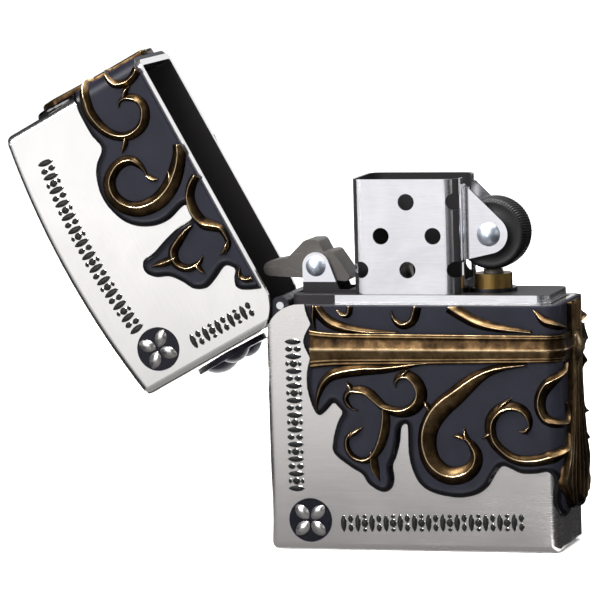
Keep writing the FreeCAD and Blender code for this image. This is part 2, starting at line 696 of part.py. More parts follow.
# The cam's hump, its arm to the lid and its shoulder to the spring, as circles round its pivot.
CAM_HUMP = [(0, 0, cam_hub), (-0.3, 2.7, 0.7), (-1.3, 2.65, 0.7), (-4.3, -0.1, 0.55)]
CAM_ARM = [(0, 0, cam_hub), (-6.3, -0.4, 0.95)]
CAM_SHOULDER = [(0, 0, cam_hub), (3.8, -1.45, 0.55), (1.75, 1.25, 0.7)]
cam_lobes = []
for circles in (CAM_HUMP, CAM_ARM, CAM_SHOULDER):
    outline = belt([(cam_x + x, cam_z + z, radius) for x, z, radius in circles])
    cam_lobes.append(slab(outline, -cam_half, cam_half))
cam_blank = feature("cam_blank", cam_lobes[0].fuse(cam_lobes[1:]).removeSplitter())
cam_bore = rod("cam_bore", "y", CAM_X, "-$cam_thickness", CAM_Z, "$cam_rivet_radius + $rivet_clearance",
               "2 * $cam_thickness")
keep(cut("cam_lever", cam_blank, cam_bore), "cam_lever")

bracket_low = number(PLATE_TOP)
bracket_inner = number(BRACKET_INNER)
bracket_outer = bracket_inner + number("$bracket_thickness")
bracket_ear = belt([
    (cam_x, cam_z, cam_hub + 0.1),
    (cam_x - cam_hub + 0.1, bracket_low + 0.2, 0.2),
    (cam_x + 2.9, bracket_low + 0.2, 0.2),
])
sheet_thick = number("$bracket_thickness")
foot_x = cam_x + number("$bracket_foot_start")
foot_long = number("$bracket_foot_length")
bridge = number("$bracket_bridge")
bracket_solid = slab(bracket_ear, -bracket_outer, -bracket_inner).fuse([
    slab(bracket_ear, bracket_inner, bracket_outer),
    Part.makeBox(bridge, 2 * bracket_outer, sheet_thick,
                 V(foot_x + foot_long - bridge, -bracket_outer, bracket_low)),
    Part.makeBox(foot_long, sheet_thick, sheet_thick, V(foot_x, -bracket_outer, bracket_low)),
    Part.makeBox(foot_long, sheet_thick, sheet_thick, V(foot_x, bracket_inner, bracket_low)),
])
bracket_blank = feature("bracket_blank", bracket_solid)
bracket_bore = rod("bracket_bore", "y", CAM_X, "-$chimney_depth", CAM_Z, "$cam_rivet_radius",
                   "2 * $chimney_depth")
keep(cut("cam_bracket", bracket_blank, bracket_bore), "cam_bracket")
keep(rivet("cam_rivet", CAM_X, CAM_Z, "$cam_rivet_radius", "$cam_head_radius", "$cam_head_height",
           BRACKET_INNER + " + $bracket_thickness"), "cam_rivet")

SPRING_TOP = "(%s - $top_plate_thickness - $cam_spring_drop)" % PLATE_TOP
strip = box("spring_strip", CAM_X + " - $cam_spring_left", "-$cam_spring_width / 2",
            SPRING_TOP + " - $cam_spring_thickness", "$cam_spring_left + $cam_spring_right",
            "$cam_spring_width", "$cam_spring_thickness")
RISER_X = CAM_X + " + $cam_spring_right - $cam_spring_thickness"
riser = box("spring_riser", RISER_X, "-$cam_spring_width / 2", SPRING_TOP + " - $cam_spring_thickness",
            "$cam_spring_thickness", "$cam_spring_width", "$cam_spring_drop + $cam_spring_thickness")
foot = box("spring_foot", RISER_X, "-$cam_spring_width / 2",
           PLATE_TOP + " - $top_plate_thickness - $cam_spring_thickness", "$cam_spring_foot",
           "$cam_spring_width", "$cam_spring_thickness")
keep(fuse("cam_spring", [strip, riser, foot]), "cam_spring")

# ---------------------------------------------------------------- wick, packing and pad

WICK_LOW = "(%s - $wick_depth)" % PLATE_TOP
keep(rod("wick", "z", "$wick_x", "0", WICK_LOW, "$wick_radius", "$wick_depth + $wick_above_plate"), "wick")

PACK_LOW = "(%s + $pad_height + $fit_gap)" % INSERT_BOTTOM
PACK_HIGH = "(%s - $cam_spring_thickness - 1)" % SPRING_TOP
INNER_INSET = "(2 * $insert_wall + 2 * $packing_gap)"
packing = pad_block("packing_block", INSERT_WIDTH + " - " + INNER_INSET, INSERT_DEPTH + " - " + INNER_INSET,
                    "$insert_corner_round - $insert_wall", "%s - %s" % (PACK_HIGH, PACK_LOW))
place(packing, INSERT_MIDDLE, "0", PACK_LOW)
packing_tube = rod("packing_tube", "z", TUBE_X, "0", PACK_LOW + " - 1", "$tube_radius + $fit_gap",
                   "$body_height")
packing_wick = rod("packing_wick", "z", "$wick_x", "0", WICK_LOW + " - $fit_gap", "$wick_radius + $fit_gap",
                   "$body_height")
keep(cut("cotton_packing", packing, fuse("packing_holes", [packing_tube, packing_wick])), "cotton_packing")

pad_blank = pad_block("pad_blank", INSERT_WIDTH + " - " + INNER_INSET, INSERT_DEPTH + " - " + INNER_INSET,
                      "$insert_corner_round - $insert_wall", "$pad_height")
place(pad_blank, INSERT_MIDDLE, "0", INSERT_BOTTOM)
pad_hole = rod("pad_hole", "z", TUBE_X, "0", "-1", "$screw_head_radius + 2 * $fit_gap", "$body_height")
keep(cut("felt_pad", pad_blank, pad_hole), "felt_pad")

# ---------------------------------------------------------------- cast ornament on the lower shell

width_scale = number("$case_width") / ART_WIDTH
body_scale = number("$body_height") / ART_BODY_HEIGHT
lid_scale = number("$lid_height") / ART_LID_HEIGHT
depth_scale = number("$case_depth") / ART_DEPTH
body_top = number("$body_height")
plate_out = number("$plate_thickness")
relief_out = plate_out + number("$relief_height")
strap_out = plate_out + number("$strap_height")
art_right = 22.5


def on_body(points):
    """Artwork points (x, z) of the lower shell, stretched to the case's size."""
    return [V(x * width_scale, 0, z * body_scale) for x, z in points]


def on_lid(points):
    """Artwork points (x, z) of the closed lid: x from the case's middle, z up from the lower shell's base."""
    return [V(x * width_scale, 0, body_top + (z - ART_BODY_HEIGHT) * lid_scale) for x, z in points]


def wrap(face, inner_offset, outer_offset, low, high):
    """The part of a band round the case that lies behind an outline, front, side and back."""
    return case_ring(inner_offset, outer_offset, low, high).common(slab(face, -BIG / 2, BIG / 2))


def strap_outline(rows, margin, top, bottom_tip, scale_z):
    """A side strap's outline in the YZ plane: half widths at heights, mirrored about the middle."""
    right = [V(0, (y + margin) * depth_scale, scale_z(z) - (margin if index else 0))
             for index, (y, z) in enumerate(rows)]
    left = [V(0, -p.y, p.z) for p in reversed(right)]
    tip = [right[-1], V(0, 0, scale_z(bottom_tip) - margin), left[0]]
    return curved_outline([right, tip, left, [left[-1], right[0]]])


BODY_PLATE = [
    [(-14.0, 32.2), (-13.75, 31.0), (-13.2, 29.6)],
    [(-13.2, 29.6), (-14.0, 28.2), (-14.1, 26.8), (-13.4, 25.3)],
    [(-13.4, 25.3), (-13.85, 22.8), (-13.5, 19.6), (-12.4, 17.75), (-11.2, 18.5), (-10.3, 19.5)],
    [(-10.3, 19.5), (-9.1, 18.2)],
    [(-9.1, 18.2), (-10.2, 15.8), (-10.55, 13.4), (-9.4, 11.6), (-6.9, 10.1)],
    [(-6.9, 10.1), (-6.0, 8.9), (-4.0, 7.75), (-2.6, 8.6), (-2.5, 10.6), (-1.6, 14.5), (-0.9, 16.7)],
    [(-0.9, 16.7), (-0.45, 14.0), (0.1, 10.4), (2.2, 7.95), (5.9, 7.15), (9.3, 8.1), (11.2, 10.4)],
    [(11.2, 10.4), (12.2, 11.25), (14.5, 10.4), (17.0, 10.45), (art_right, 11.2)],
    [(art_right, 11.2), (art_right, 32.2)],
    [(art_right, 32.2), (-14.0, 32.2)],
]
CROSSBAR = [
    [(art_right, 28.35), (6.0, 28.4), (-4.0, 28.7), (-12.4, 28.9)],
    [(-12.4, 28.9), (-13.2, 26.45), (-12.4, 24.1)],
    [(-12.4, 24.1), (-5.0, 24.5), (6.0, 24.9), (art_right, 25.0)],
    [(art_right, 25.0), (art_right, 28.35)],
]
BODY_SCROLLS = [
    ([(-12.3, 32.2), (-11.3, 30.9), (-9.3, 29.9), (-5.5, 29.3), (-1.3, 29.0)], 0.8, 0.4),
    ([(-12.4, 18.4), (-12.1, 20.6), (-10.5, 22.8), (-6.0, 23.9), (-1.0, 24.5)], 0.5, 0.7),
    ([(5.9, 32.2), (7.9, 30.8), (11.0, 29.5), (16.4, 28.8)], 0.9, 0.6),
    ([(-2.0, 31.4), (-1.5, 30.3), (-0.4, 29.9), (0.7, 30.7), (1.2, 32.2)], 0.4, 0.8),
    ([(16.9, 31.6), (18.2, 30.4), (19.4, 28.6)], 0.4, 0.9),
    ([(-7.3, 18.9), (-8.4, 19.8), (-7.9, 21.0), (-5.8, 20.7), (-3.6, 19.1), (-0.8, 18.7), (1.0, 20.2),
      (0.7, 22.0), (-0.8, 22.9)], 0.4, 0.7),
    ([(-3.55, 18.8), (-3.6, 16.3), (-4.9, 12.9), (-6.6, 12.1), (-8.3, 13.3), (-8.4, 14.9),
      (-7.2, 15.9)], 0.8, 0.4),
    ([(-5.35, 12.9), (-5.2, 10.9), (-4.4, 9.5)], 0.7, 0.3),
    ([(15.3, 24.6), (10.6, 23.8), (6.2, 21.2), (2.9, 18.4), (1.75, 15.0), (2.6, 11.7), (5.6, 10.1),
      (8.2, 11.3), (8.3, 13.8), (6.7, 15.3)], 0.7, 0.8),
    ([(15.6, 16.2), (15.0, 18.4), (12.7, 18.8), (11.0, 17.0), (11.5, 14.1), (14.6, 12.4), (18.4, 12.9),
      (20.6, 14.2)], 0.5, 1.0),
    ([(19.9, 24.0), (17.3, 21.2), (16.9, 18.9), (18.2, 17.3), (20.4, 17.0)], 0.9, 0.6),
]
SIDE_STRAP = [(2.7, 32.0), (2.5, 26.5), (3.0, 20.0), (4.3, 12.5), (6.4, 8.5), (6.7, 6.4), (3.6, 5.2)]
SIDE_STRAP_TIP = 6.3
BOSS_Z = 26.5


def body_height_at(z):
    return z * body_scale


def side_slab(face, inner_offset, outer_offset):
    """A face in the YZ plane made a slab on the case's free side, between two distances out from its wall."""
    wall_x = number("$case_width") / 2
    prism = face.extrude(V(wall_x + outer_offset, 0, 0))
    return prism.cut(Part.makeBox(wall_x + inner_offset, 2 * BIG, 2 * BIG, V(0, -BIG, -BIG)))


plate_shape = wrap(curved_outline([on_body(points) for points in BODY_PLATE]), 0, plate_out, 0, body_top)
side_outline = strap_outline(SIDE_STRAP, 0.6, body_top, SIDE_STRAP_TIP, body_height_at)
side_border = side_slab(side_outline, 0, plate_out)
corner_trim = case_ring(0, plate_out, 0, body_top)
plate_shape = plate_shape.fuse(side_border.common(corner_trim)).removeSplitter()
keep(feature("case_ornament_plate", plate_shape), "case_ornament_plate")

strap_shape = side_slab(strap_outline(SIDE_STRAP, 0, body_top, SIDE_STRAP_TIP, body_height_at),
                        plate_out, strap_out)
boss_centre = V(number("$case_width") / 2 + plate_out, 0, BOSS_Z * body_scale)
boss_ball = (number("$boss_radius") ** 2 + number("$boss_height") ** 2) / (2 * number("$boss_height"))
boss_shape = Part.makeSphere(boss_ball, boss_centre - V(boss_ball - number("$boss_height"), 0, 0))
boss_shape = boss_shape.common(Part.makeBox(BIG, BIG, BIG, boss_centre - V(0, BIG / 2, BIG / 2)))
boss_well = Part.makeCylinder(number("$boss_radius") + 0.02, BIG, boss_centre, V(1, 0, 0))
bar_prism = slab(curved_outline([on_body(points) for points in CROSSBAR]), -BIG / 2, BIG / 2)
bar_shape = case_ring(plate_out, relief_out, 0, body_top).common(bar_prism).cut(boss_well)
strap_shape = strap_shape.cut([bar_prism, boss_well])
keep(feature("side_boss", boss_shape), "side_boss")
keep(feature("crossbar_wrap", bar_shape), "crossbar_wrap")
keep(feature("case_side_strap", strap_shape), "case_side_strap")


def scrollwork(scrolls, to_case, clear_of, low, high):
    """All scrolls of one shell as one relief, front and back, clear of its neighbours."""
    faces = [ribbon(to_case(points), start, end) for points, start, end in scrolls]
    solid = slab(faces[0], -BIG / 2, BIG / 2).fuse([slab(face, -BIG / 2, BIG / 2) for face in faces[1:]])
    side_room = number("$case_width") / 2
    outside = Part.makeBox(BIG, BIG, BIG, V(side_room, -BIG / 2, low - 1))
    relief = case_ring(plate_out, relief_out, low, high).common(solid)
    return relief.cut([outside] + clear_of).removeSplitter()


scroll_shape = scrollwork(BODY_SCROLLS, on_body, [bar_prism], 0, body_top)
keep(feature("case_scrollwork", scroll_shape), "case_scrollwork")

# ---------------------------------------------------------------- cast ornament on the lid

LID_PLATE = [
    [(-14.4, 32.35), (-13.9, 34.0), (-12.6, 35.6), (-11.4, 35.3), (-10.5, 34.45)],
    [(-10.5, 34.45), (-9.6, 35.6), (-10.4, 37.6), (-10.75, 39.4), (-10.0, 40.8), (-8.55, 41.7)],
    [(-8.55, 41.7), (-7.1, 42.9), (-6.2, 44.6), (-4.9, 45.55), (-3.6, 44.9), (-3.3, 43.1)],
    [(-3.3, 43.1), (-2.4, 40.0), (-1.95, 36.6), (-1.0, 36.1), (-0.1, 36.7)],
    [(-0.1, 36.7), (-0.65, 39.2), (-0.2, 41.8), (1.6, 44.3), (5.0, 45.7), (8.65, 45.2), (12.2, 42.5)],
    [(12.2, 42.5), (14.2, 42.9), (17.0, 42.9), (art_right, 42.6)],
    [(art_right, 42.6), (art_right, 32.35)],
    [(art_right, 32.35), (-14.4, 32.35)],
]
LID_SCROLLS = [
    ([(6.6, 32.6), (4.5, 34.8), (2.6, 38.0), (2.6, 41.2), (4.4, 43.4), (7.3, 43.4), (8.8, 41.2),
      (8.0, 39.1), (5.8, 38.7)], 0.8, 0.5),
    ([(15.9, 36.8), (15.0, 34.9), (12.9, 34.9), (11.5, 37.1), (12.3, 39.7), (14.8, 41.1),
      (19.4, 40.6)], 0.5, 1.0),
    ([(-7.45, 38.1), (-7.3, 39.9), (-5.8, 41.0), (-4.1, 40.3), (-2.95, 37.7)], 0.5, 0.9),
    ([(-5.1, 41.0), (-5.1, 42.6), (-4.8, 44.0)], 0.7, 0.3),
    ([(-7.6, 34.3), (-6.4, 33.2), (-4.7, 33.4), (-3.3, 35.0), (-1.2, 35.5), (0.9, 34.9),
      (2.0, 33.6)], 0.6, 0.6),
    ([(-12.6, 32.6), (-12.0, 33.9)], 0.8, 0.4),
    ([(18.0, 33.5), (17.8, 35.4), (19.4, 37.0)], 0.6, 0.6),
]
LID_STRAP = [(2.7, 32.4), (2.6, 36.0), (3.2, 41.0), (4.8, 45.5), (5.6, 47.4), (3.2, 48.4)]
LID_STRAP_TIP = 47.5

lid_low = number(LID_MOUTH)
lid_high = number(LID_TOP) - 1


def lid_piece(name, shape):
    """A lid piece built closed and swung open."""
    return keep(swing_open(feature(name, shape)), name)


def lid_height_at(z):
    return body_top + (z - ART_BODY_HEIGHT) * lid_scale


def lid_strap_outline(margin):
    """The lid strap's outline: half widths at heights, with a two-lobed top end."""
    right = [V(0, (y + margin) * depth_scale, max(lid_height_at(z), lid_low) + (margin if index else 0))
             for index, (y, z) in enumerate(LID_STRAP)]
    left = [V(0, -p.y, p.z) for p in reversed(right)]
    tip = [right[-1], V(0, 0, lid_height_at(LID_STRAP_TIP) + margin), left[0]]
    return curved_outline([right, tip, left, [left[-1], right[0]]])


lid_field = curved_outline([on_lid(points) for points in LID_PLATE])
lid_plate_shape = wrap(lid_field, 0, plate_out, lid_low, lid_high)
lid_side = side_slab(lid_strap_outline(0.6), 0, plate_out).common(case_ring(0, plate_out, lid_low, lid_high))
lid_plate_shape = lid_plate_shape.fuse(lid_side).removeSplitter()
lid_piece("lid_ornament_plate", lid_plate_shape)
lid_strap_shape = side_slab(lid_strap_outline(0), plate_out, strap_out)
lid_piece("lid_side_strap", lid_strap_shape)
lid_piece("lid_scrollwork", scrollwork(LID_SCROLLS, on_lid, [], lid_low, lid_high))

# A cast cluster of lobes on the lid's hinge side.
left_x = -number("$case_width") / 2
LOBES = [(0.0, 44.2, 2.6, 1.3), (-3.0, 41.2, 1.9, 1.0), (3.0, 41.2, 1.9, 1.0)]
lobes = []
for lobe_y, lobe_z, lobe_radius, lobe_height in LOBES:
    ball = (lobe_radius ** 2 + lobe_height ** 2) / (2 * lobe_height)
    centre = V(left_x - plate_out + ball - lobe_height, lobe_y * depth_scale, lid_height_at(lobe_z))
    lobes.append(Part.makeSphere(ball, centre))
lobe_room = Part.makeBox(BIG, BIG, BIG, V(left_x - plate_out - BIG, -BIG / 2, 0))
lobe_domes = [lobe.common(lobe_room) for lobe in lobes]
HINGE_PLATE = [(0.0, 48.0), (3.6, 45.4), (5.3, 41.4), (3.0, 38.6), (0.0, 37.6)]
halves = [[V(0, side * y * depth_scale, lid_height_at(z)) for y, z in HINGE_PLATE] for side in (1, -1)]
halves[1].reverse()
hinge_plate = side_slab(curved_outline(halves), 0, plate_out)
hinge_plate = hinge_plate.mirror(V(0, 0, 0), V(1, 0, 0))
lid_piece("lid_hinge_ornament", hinge_plate.fuse(lobe_domes).removeSplitter())

# ---------------------------------------------------------------- medallions

MEDALLION_FACE = "($case_depth / 2 + $medallion_proud)"
MEDALLION_THICK = "($medallion_sink + $medallion_proud)"
keep(medallion_rods("case_medallions", CASE_MEDALLION[0], MEDALLION_FACE, CASE_MEDALLION[1],
                    "$medallion_radius", MEDALLION_THICK), "case_medallions")
keep(swing_open(medallion_rods("lid_medallions", LID_MEDALLION[0], MEDALLION_FACE, LID_MEDALLION[1],
                               "$medallion_radius", MEDALLION_THICK)), "lid_medallions")

# ---------------------------------------------------------------- check and write

doc.recompute()
for item in doc.Objects:
    if "Invalid" in item.State or "Error" in item.State:
        raise RuntimeError(item.Name + " is not up to date: " + str(item.State))
os.makedirs("parts", exist_ok=True)
for item in sub_parts:
    if item.Shape.isNull() or not item.Shape.isValid() or not item.Shape.Solids:
        raise RuntimeError(item.Label + " has no valid solid")
for item in sub_parts:
    item.Shape.exportStep("parts/" + item.Label + ".step")
    print(item.Label, len(item.Shape.Solids), round(item.Shape.Volume, 2))
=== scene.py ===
"""A flip-top pocket lighter with a cast scroll ornament, standing open on a pale table."""
import math

import bpy
import numpy as np
from mathutils import Matrix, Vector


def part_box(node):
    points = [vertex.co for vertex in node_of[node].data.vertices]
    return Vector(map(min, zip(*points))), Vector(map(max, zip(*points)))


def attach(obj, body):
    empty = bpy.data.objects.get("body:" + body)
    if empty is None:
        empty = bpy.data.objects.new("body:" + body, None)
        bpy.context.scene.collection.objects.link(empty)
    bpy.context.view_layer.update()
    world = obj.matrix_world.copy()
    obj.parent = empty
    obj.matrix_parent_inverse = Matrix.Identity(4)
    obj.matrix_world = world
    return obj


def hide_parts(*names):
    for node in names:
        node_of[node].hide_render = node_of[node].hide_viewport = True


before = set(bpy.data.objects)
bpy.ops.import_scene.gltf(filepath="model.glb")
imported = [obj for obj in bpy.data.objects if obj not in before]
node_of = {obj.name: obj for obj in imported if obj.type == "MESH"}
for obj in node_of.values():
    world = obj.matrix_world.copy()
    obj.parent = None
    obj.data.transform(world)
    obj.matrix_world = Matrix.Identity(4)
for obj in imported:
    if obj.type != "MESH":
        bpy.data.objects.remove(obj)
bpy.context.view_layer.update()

mm = 0.001


# ------------------------------------------------------------------ studio
# A pale painted table under a white sky, with one large soft lamp in front and one above. Metal
# sees that sky bright ahead and behind and dark to the sides, and mirrors dark flags and cards.
def wire(tree, kind, inputs=(), **settings):
    """One shader node: settings are its properties, inputs are sockets and what feeds them."""
    made = tree.nodes.new("ShaderNode" + kind)
    for key, value in settings.items():
        setattr(made, key, value)
    for socket, value in dict(inputs).items():
        if isinstance(value, bpy.types.NodeSocket):
            tree.links.new(value, made.inputs[socket])
        else:
            made.inputs[socket].default_value = value
    return made


def reckon(tree, operation, *values):
    """What one Math node gives when it works the operation on those values."""
    return wire(tree, "Math", enumerate(values), operation=operation).outputs[0]


def new_material(name):
    """An empty material with its output node; returns the material, its tree and that node."""
    material = bpy.data.materials.new(name)
    material.use_nodes = True
    material.node_tree.nodes.clear()
    return material, material.node_tree, wire(material.node_tree, "OutputMaterial")


def flat_card(name, material, corners, seen=False):
    """A four-cornered sheet in the studio; one that isn't seen only shows in reflections."""
    mesh = bpy.data.meshes.new(name)
    mesh.from_pydata([[c * mm for c in corner] for corner in corners], [], [(0, 1, 2, 3)])
    mesh.materials.append(material)
    card = bpy.data.objects.new(name, mesh)
    bpy.context.scene.collection.objects.link(card)
    if not seen:
        card.visible_camera = card.visible_shadow = card.visible_diffuse = False
    return card


def glow(name, strength):
    """A surface that gives off an even white light of that strength."""
    material, tree, out = new_material(name)
    shine = wire(tree, "Emission", {"Strength": strength})
    tree.links.new(shine.outputs[0], out.inputs[0])
    return material


table_paint, tree, out = new_material("table_paint")
speckle = wire(tree, "TexNoise", {"Scale": 900.0, "Detail": 2.0})
speckle_bump = wire(tree, "Bump", {"Strength": 0.03, "Height": speckle.outputs["Fac"]})
paint = wire(tree, "BsdfPrincipled", {"Base Color": (0.9, 0.9, 0.9, 1), "Roughness": 0.6,
                                      "Normal": speckle_bump.outputs[0]})
tree.links.new(paint.outputs[0], out.inputs[0])
TABLE = 700
flat_card("table", table_paint,
          [(-TABLE, -TABLE, 0), (TABLE, -TABLE, 0), (TABLE, TABLE, 0), (-TABLE, TABLE, 0)], seen=True)


def lying(height, *corners):
    """The corners, given as (X, Y), of a card that lies flat at that height."""
    return [(*corner, height) for corner in corners]


FLAG_HEIGHT = 0.2
flag_black = glow("flag_black", 0.03)
for name, material, corners in (
        ("dark_flag_right", flag_black, lying(FLAG_HEIGHT, (19.6, -7), (400, -7), (400, 400), (19.6, 400))),
        ("dark_flag_corner", flag_black, lying(FLAG_HEIGHT, (8, 7), (19.6, 7), (19.6, 400), (8, 400))),
        ("dark_flag_behind", flag_black,
         [(8, 62, FLAG_HEIGHT), (130, 120, FLAG_HEIGHT), (130, 120, 90), (8, 62, 90)]),
        ("dark_flag_front", flag_black, lying(FLAG_HEIGHT, (20, -7), (-55, -700), (400, -700), (400, -7))),
        ("rim_card", glow("rim_glow", 1.3),
         [(150, -120, 55), (190, -40, 55), (190, -40, 140), (150, -120, 140)]),
        ("dark_flag_left", flag_black, lying(FLAG_HEIGHT, (-500, -50), (-62, -50), (-62, 400), (-500, 400)))):
    flat_card(name, material, corners)

near_glow, tree, out = new_material("near_table_glow")
split = wire(tree, "SeparateXYZ", {0: wire(tree, "TexCoord").outputs["Object"]})
fade = wire(tree, "MapRange", {0: split.outputs["Y"], 1: -0.34, 2: -0.008, 3: 1.3, 4: 0.3},
            interpolation_type="SMOOTHSTEP")
shine = wire(tree, "Emission", {"Strength": fade.outputs[0]})
tree.links.new(shine.outputs[0], out.inputs[0])
flat_card("near_table_card", near_glow, lying(0.15, (-400, -700), (-55, -700), (20, 4), (-400, 4)))

world = bpy.data.worlds.new("studio_sky")
bpy.context.scene.world = world
world.use_nodes = True
tree = world.node_tree
tree.nodes.clear()
BRIGHT_WAY = (-0.37, -0.93, 0.0)
toward = wire(tree, "VectorMath", {0: wire(tree, "TexCoord").outputs["Generated"], 1: BRIGHT_WAY},
              operation="DOT_PRODUCT")
depthwise = reckon(tree, "ABSOLUTE", toward.outputs["Value"])
sides = wire(tree, "MapRange", {0: depthwise, 1: 0.55, 2: 0.93, 3: 0.02, 4: 1.0},
             interpolation_type="SMOOTHSTEP")
for_eye = wire(tree, "Background", {"Color": (1, 1, 1, 1), "Strength": 1.1})
for_metal = wire(tree, "Background", {"Color": (0.97, 0.98, 1, 1), "Strength": sides.outputs[0]})
for_table = wire(tree, "Background", {"Color": (1, 1, 1, 1), "Strength": 0.85})
rays = wire(tree, "LightPath")
choose = wire(tree, "MixShader", {0: rays.outputs["Is Diffuse Ray"], 1: for_metal.outputs[0],
                                  2: for_table.outputs[0]})
choose = wire(tree, "MixShader", {0: rays.outputs["Is Camera Ray"], 1: choose.outputs[0],
                                  2: for_eye.outputs[0]})
wire(tree, "OutputWorld", {0: choose.outputs[0]})


def looking(place, aim, roll):
    """The matrix whose -Z axis points from place to aim, turned by roll about that axis."""
    back = (place - aim) / np.linalg.norm(place - aim)
    right = np.cross([0, 0, 1], back)
    right /= np.linalg.norm(right)
    up = np.cross(back, right)
    x_axis = right * math.cos(roll) + up * math.sin(roll)
    y_axis = up * math.cos(roll) - right * math.sin(roll)
    turned = np.eye(4)
    turned[:3] = np.column_stack([x_axis, y_axis, back, place])
    return Matrix(turned.tolist())


def soft_lamp(name, place, aim, size, power):
    """A square soft lamp at place, in millimetres, whose face points at aim."""
    lamp = bpy.data.lights.new(name, "AREA")
    lamp.shape, lamp.size, lamp.energy = "SQUARE", size * mm, power
    holder = bpy.data.objects.new(name, lamp)
    bpy.context.scene.collection.objects.link(holder)
    holder.matrix_world = looking(np.array(place) * mm, np.array(aim) * mm, 0.0)


soft_lamp("front_lamp", (-260, -420, 420), (0, 0, 30), 320, 9.0)
soft_lamp("top_lamp", (60, 60, 520), (0, 0, 30), 360, 7.0)

YAW, RISE, ROLL, DISTANCE = math.radians(15.99), math.radians(6.45), math.radians(-1.626), 712.9
aim = np.array([-16.43, 0.0, 32.0])
away = np.array([math.sin(YAW) * math.cos(RISE), -math.cos(YAW) * math.cos(RISE), math.sin(RISE)])
camera = bpy.data.objects.new("camera", bpy.data.cameras.new("camera"))
camera.data.lens, camera.data.sensor_width = 326.6, 36.0
camera.data.clip_end = 10
camera.matrix_world = looking((aim + away * DISTANCE) * mm, aim * mm, ROLL)
bpy.context.scene.collection.objects.link(camera)
bpy.context.scene.camera = camera
bpy.context.scene.view_settings.view_transform = "Standard"


# ------------------------------------------------------------------ case and lid shells
# Drawn brass boxes, nickel plated: a fine upright brush under a polish, soft smears, and
# fine scratches. The inside of the lid is painted dark as shade, and its cut mouth is left bright.
def effect_group(name, inputs, outputs):
    """An empty shader node group with those sockets; returns the tree and its two end nodes."""
    tree = bpy.data.node_groups.new(name, "ShaderNodeTree")
    for direction, sockets in (("INPUT", inputs), ("OUTPUT", outputs)):
        for socket, kind in sockets:
            tree.interface.new_socket(socket, in_out=direction, socket_type="NodeSocket" + kind)
    return tree, tree.nodes.new("NodeGroupInput"), tree.nodes.new("NodeGroupOutput")


def fill_outputs(tree, out, **feeds):
    """Links each named output of a group to what feeds it."""
    for socket, feed in feeds.items():
        tree.links.new(feed, out.inputs[socket.replace("_", " ")])


hairline_group, given, out = effect_group(
    "hairline", [("Vector", "Vector"), ("Across", "Float"), ("Along", "Float")],
    [("Lines", "Float"), ("Smears", "Float"), ("Scratches", "Float")])
tree = hairline_group
stretch = wire(tree, "CombineXYZ", {0: given.outputs["Along"], 1: given.outputs["Along"],
                                    2: given.outputs["Across"]})
drawn = wire(tree, "VectorMath", {0: given.outputs["Vector"], 1: stretch.outputs[0]}, operation="MULTIPLY")
lines = wire(tree, "TexNoise", {"Vector": drawn.outputs[0], "Scale": 1.0, "Detail": 4.0, "Roughness": 0.6})
smears = wire(tree, "TexNoise", {"Vector": given.outputs["Vector"], "Scale": 90.0, "Detail": 3.0,
                                 "Roughness": 0.55, "Distortion": 0.6})
smear_mask = wire(tree, "MapRange", {0: smears.outputs["Fac"], 1: 0.35, 2: 0.72, 3: 0.0, 4: 1.0})
scratch_cells = wire(tree, "TexVoronoi", {"Vector": drawn.outputs[0], "Scale": 0.12, "Randomness": 1.0},
                     feature="DISTANCE_TO_EDGE")
scratches = wire(tree, "MapRange", {0: scratch_cells.outputs["Distance"], 1: 0.0, 2: 0.03, 3: 1.0, 4: 0.0})
fill_outputs(tree, out, Lines=lines.outputs["Fac"], Smears=smear_mask.outputs[0],
             Scratches=scratches.outputs[0])


def worked_metal(name, bright, dull, rough, across, along, bump, closed=None, soot_and_shade=None):
    """Polished metal: colour goes from bright to dull and roughness over the range rough with
    brush lines and smears, across and along being the brush lines' steps to the metre. closed
    is a (place, angle) mapping to upright coordinates, and the last argument gives a mask that
    turns the surface near black: soot in the wind screen, painted shade inside the lid, and
    painted dark reflections on the top plate and cam bracket."""
    material, tree, out = new_material(name)
    spot = wire(tree, "TexCoord").outputs["Object"]
    if closed:
        place, angle = closed
        spot = wire(tree, "Mapping", {"Vector": spot, "Location": place, "Rotation": angle}).outputs[0]
    brushed = wire(tree, "Group", node_tree=hairline_group)
    tree.links.new(spot, brushed.inputs["Vector"])
    brushed.inputs["Across"].default_value = across
    brushed.inputs["Along"].default_value = along
    colour = wire(tree, "Mix", {0: brushed.outputs["Smears"], 6: (*bright, 1), 7: (*dull, 1)},
                  data_type="RGBA").outputs[2]
    grain = wire(tree, "MapRange", {0: brushed.outputs["Lines"], 1: 0.3, 2: 0.7, 3: rough[0], 4: rough[1]})
    roughness = wire(tree, "MapRange", {0: brushed.outputs["Smears"], 3: 0.0, 4: rough[0] * 0.5}).outputs[0]
    roughness = reckon(tree, "ADD", grain.outputs[0], roughness)
    relief = reckon(tree, "SUBTRACT", brushed.outputs["Lines"], brushed.outputs["Scratches"])
    metallic = 1.0
    if soot_and_shade:
        mask = soot_and_shade(tree, spot)
        # Near black where the mask is one: soot in the wind screen, painted shade and painted dark
        # reflections elsewhere.
        colour = wire(tree, "Mix", {0: mask, 6: colour, 7: (0.012, 0.011, 0.012, 1)},
                      data_type="RGBA").outputs[2]
        roughness = wire(tree, "Mix", {0: mask, 2: roughness, 3: 0.45}).outputs[0]
        metallic = wire(tree, "MapRange", {0: mask, 3: 1.0, 4: 0.0}).outputs[0]
    raised = wire(tree, "Bump", {"Strength": bump, "Distance": 0.00002, "Height": relief})
    shader = wire(tree, "BsdfPrincipled", {"Base Color": colour, "Metallic": metallic, "Roughness": roughness,
                                           "Specular IOR Level": 0.12, "Normal": raised.outputs[0]})
    tree.links.new(shader.outputs[0], out.inputs[0])
    return material


def dress(material, *nodes):
    """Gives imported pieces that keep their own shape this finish."""
    for name in nodes:
        node_of[name].data.materials.clear()
        node_of[name].data.materials.append(material)


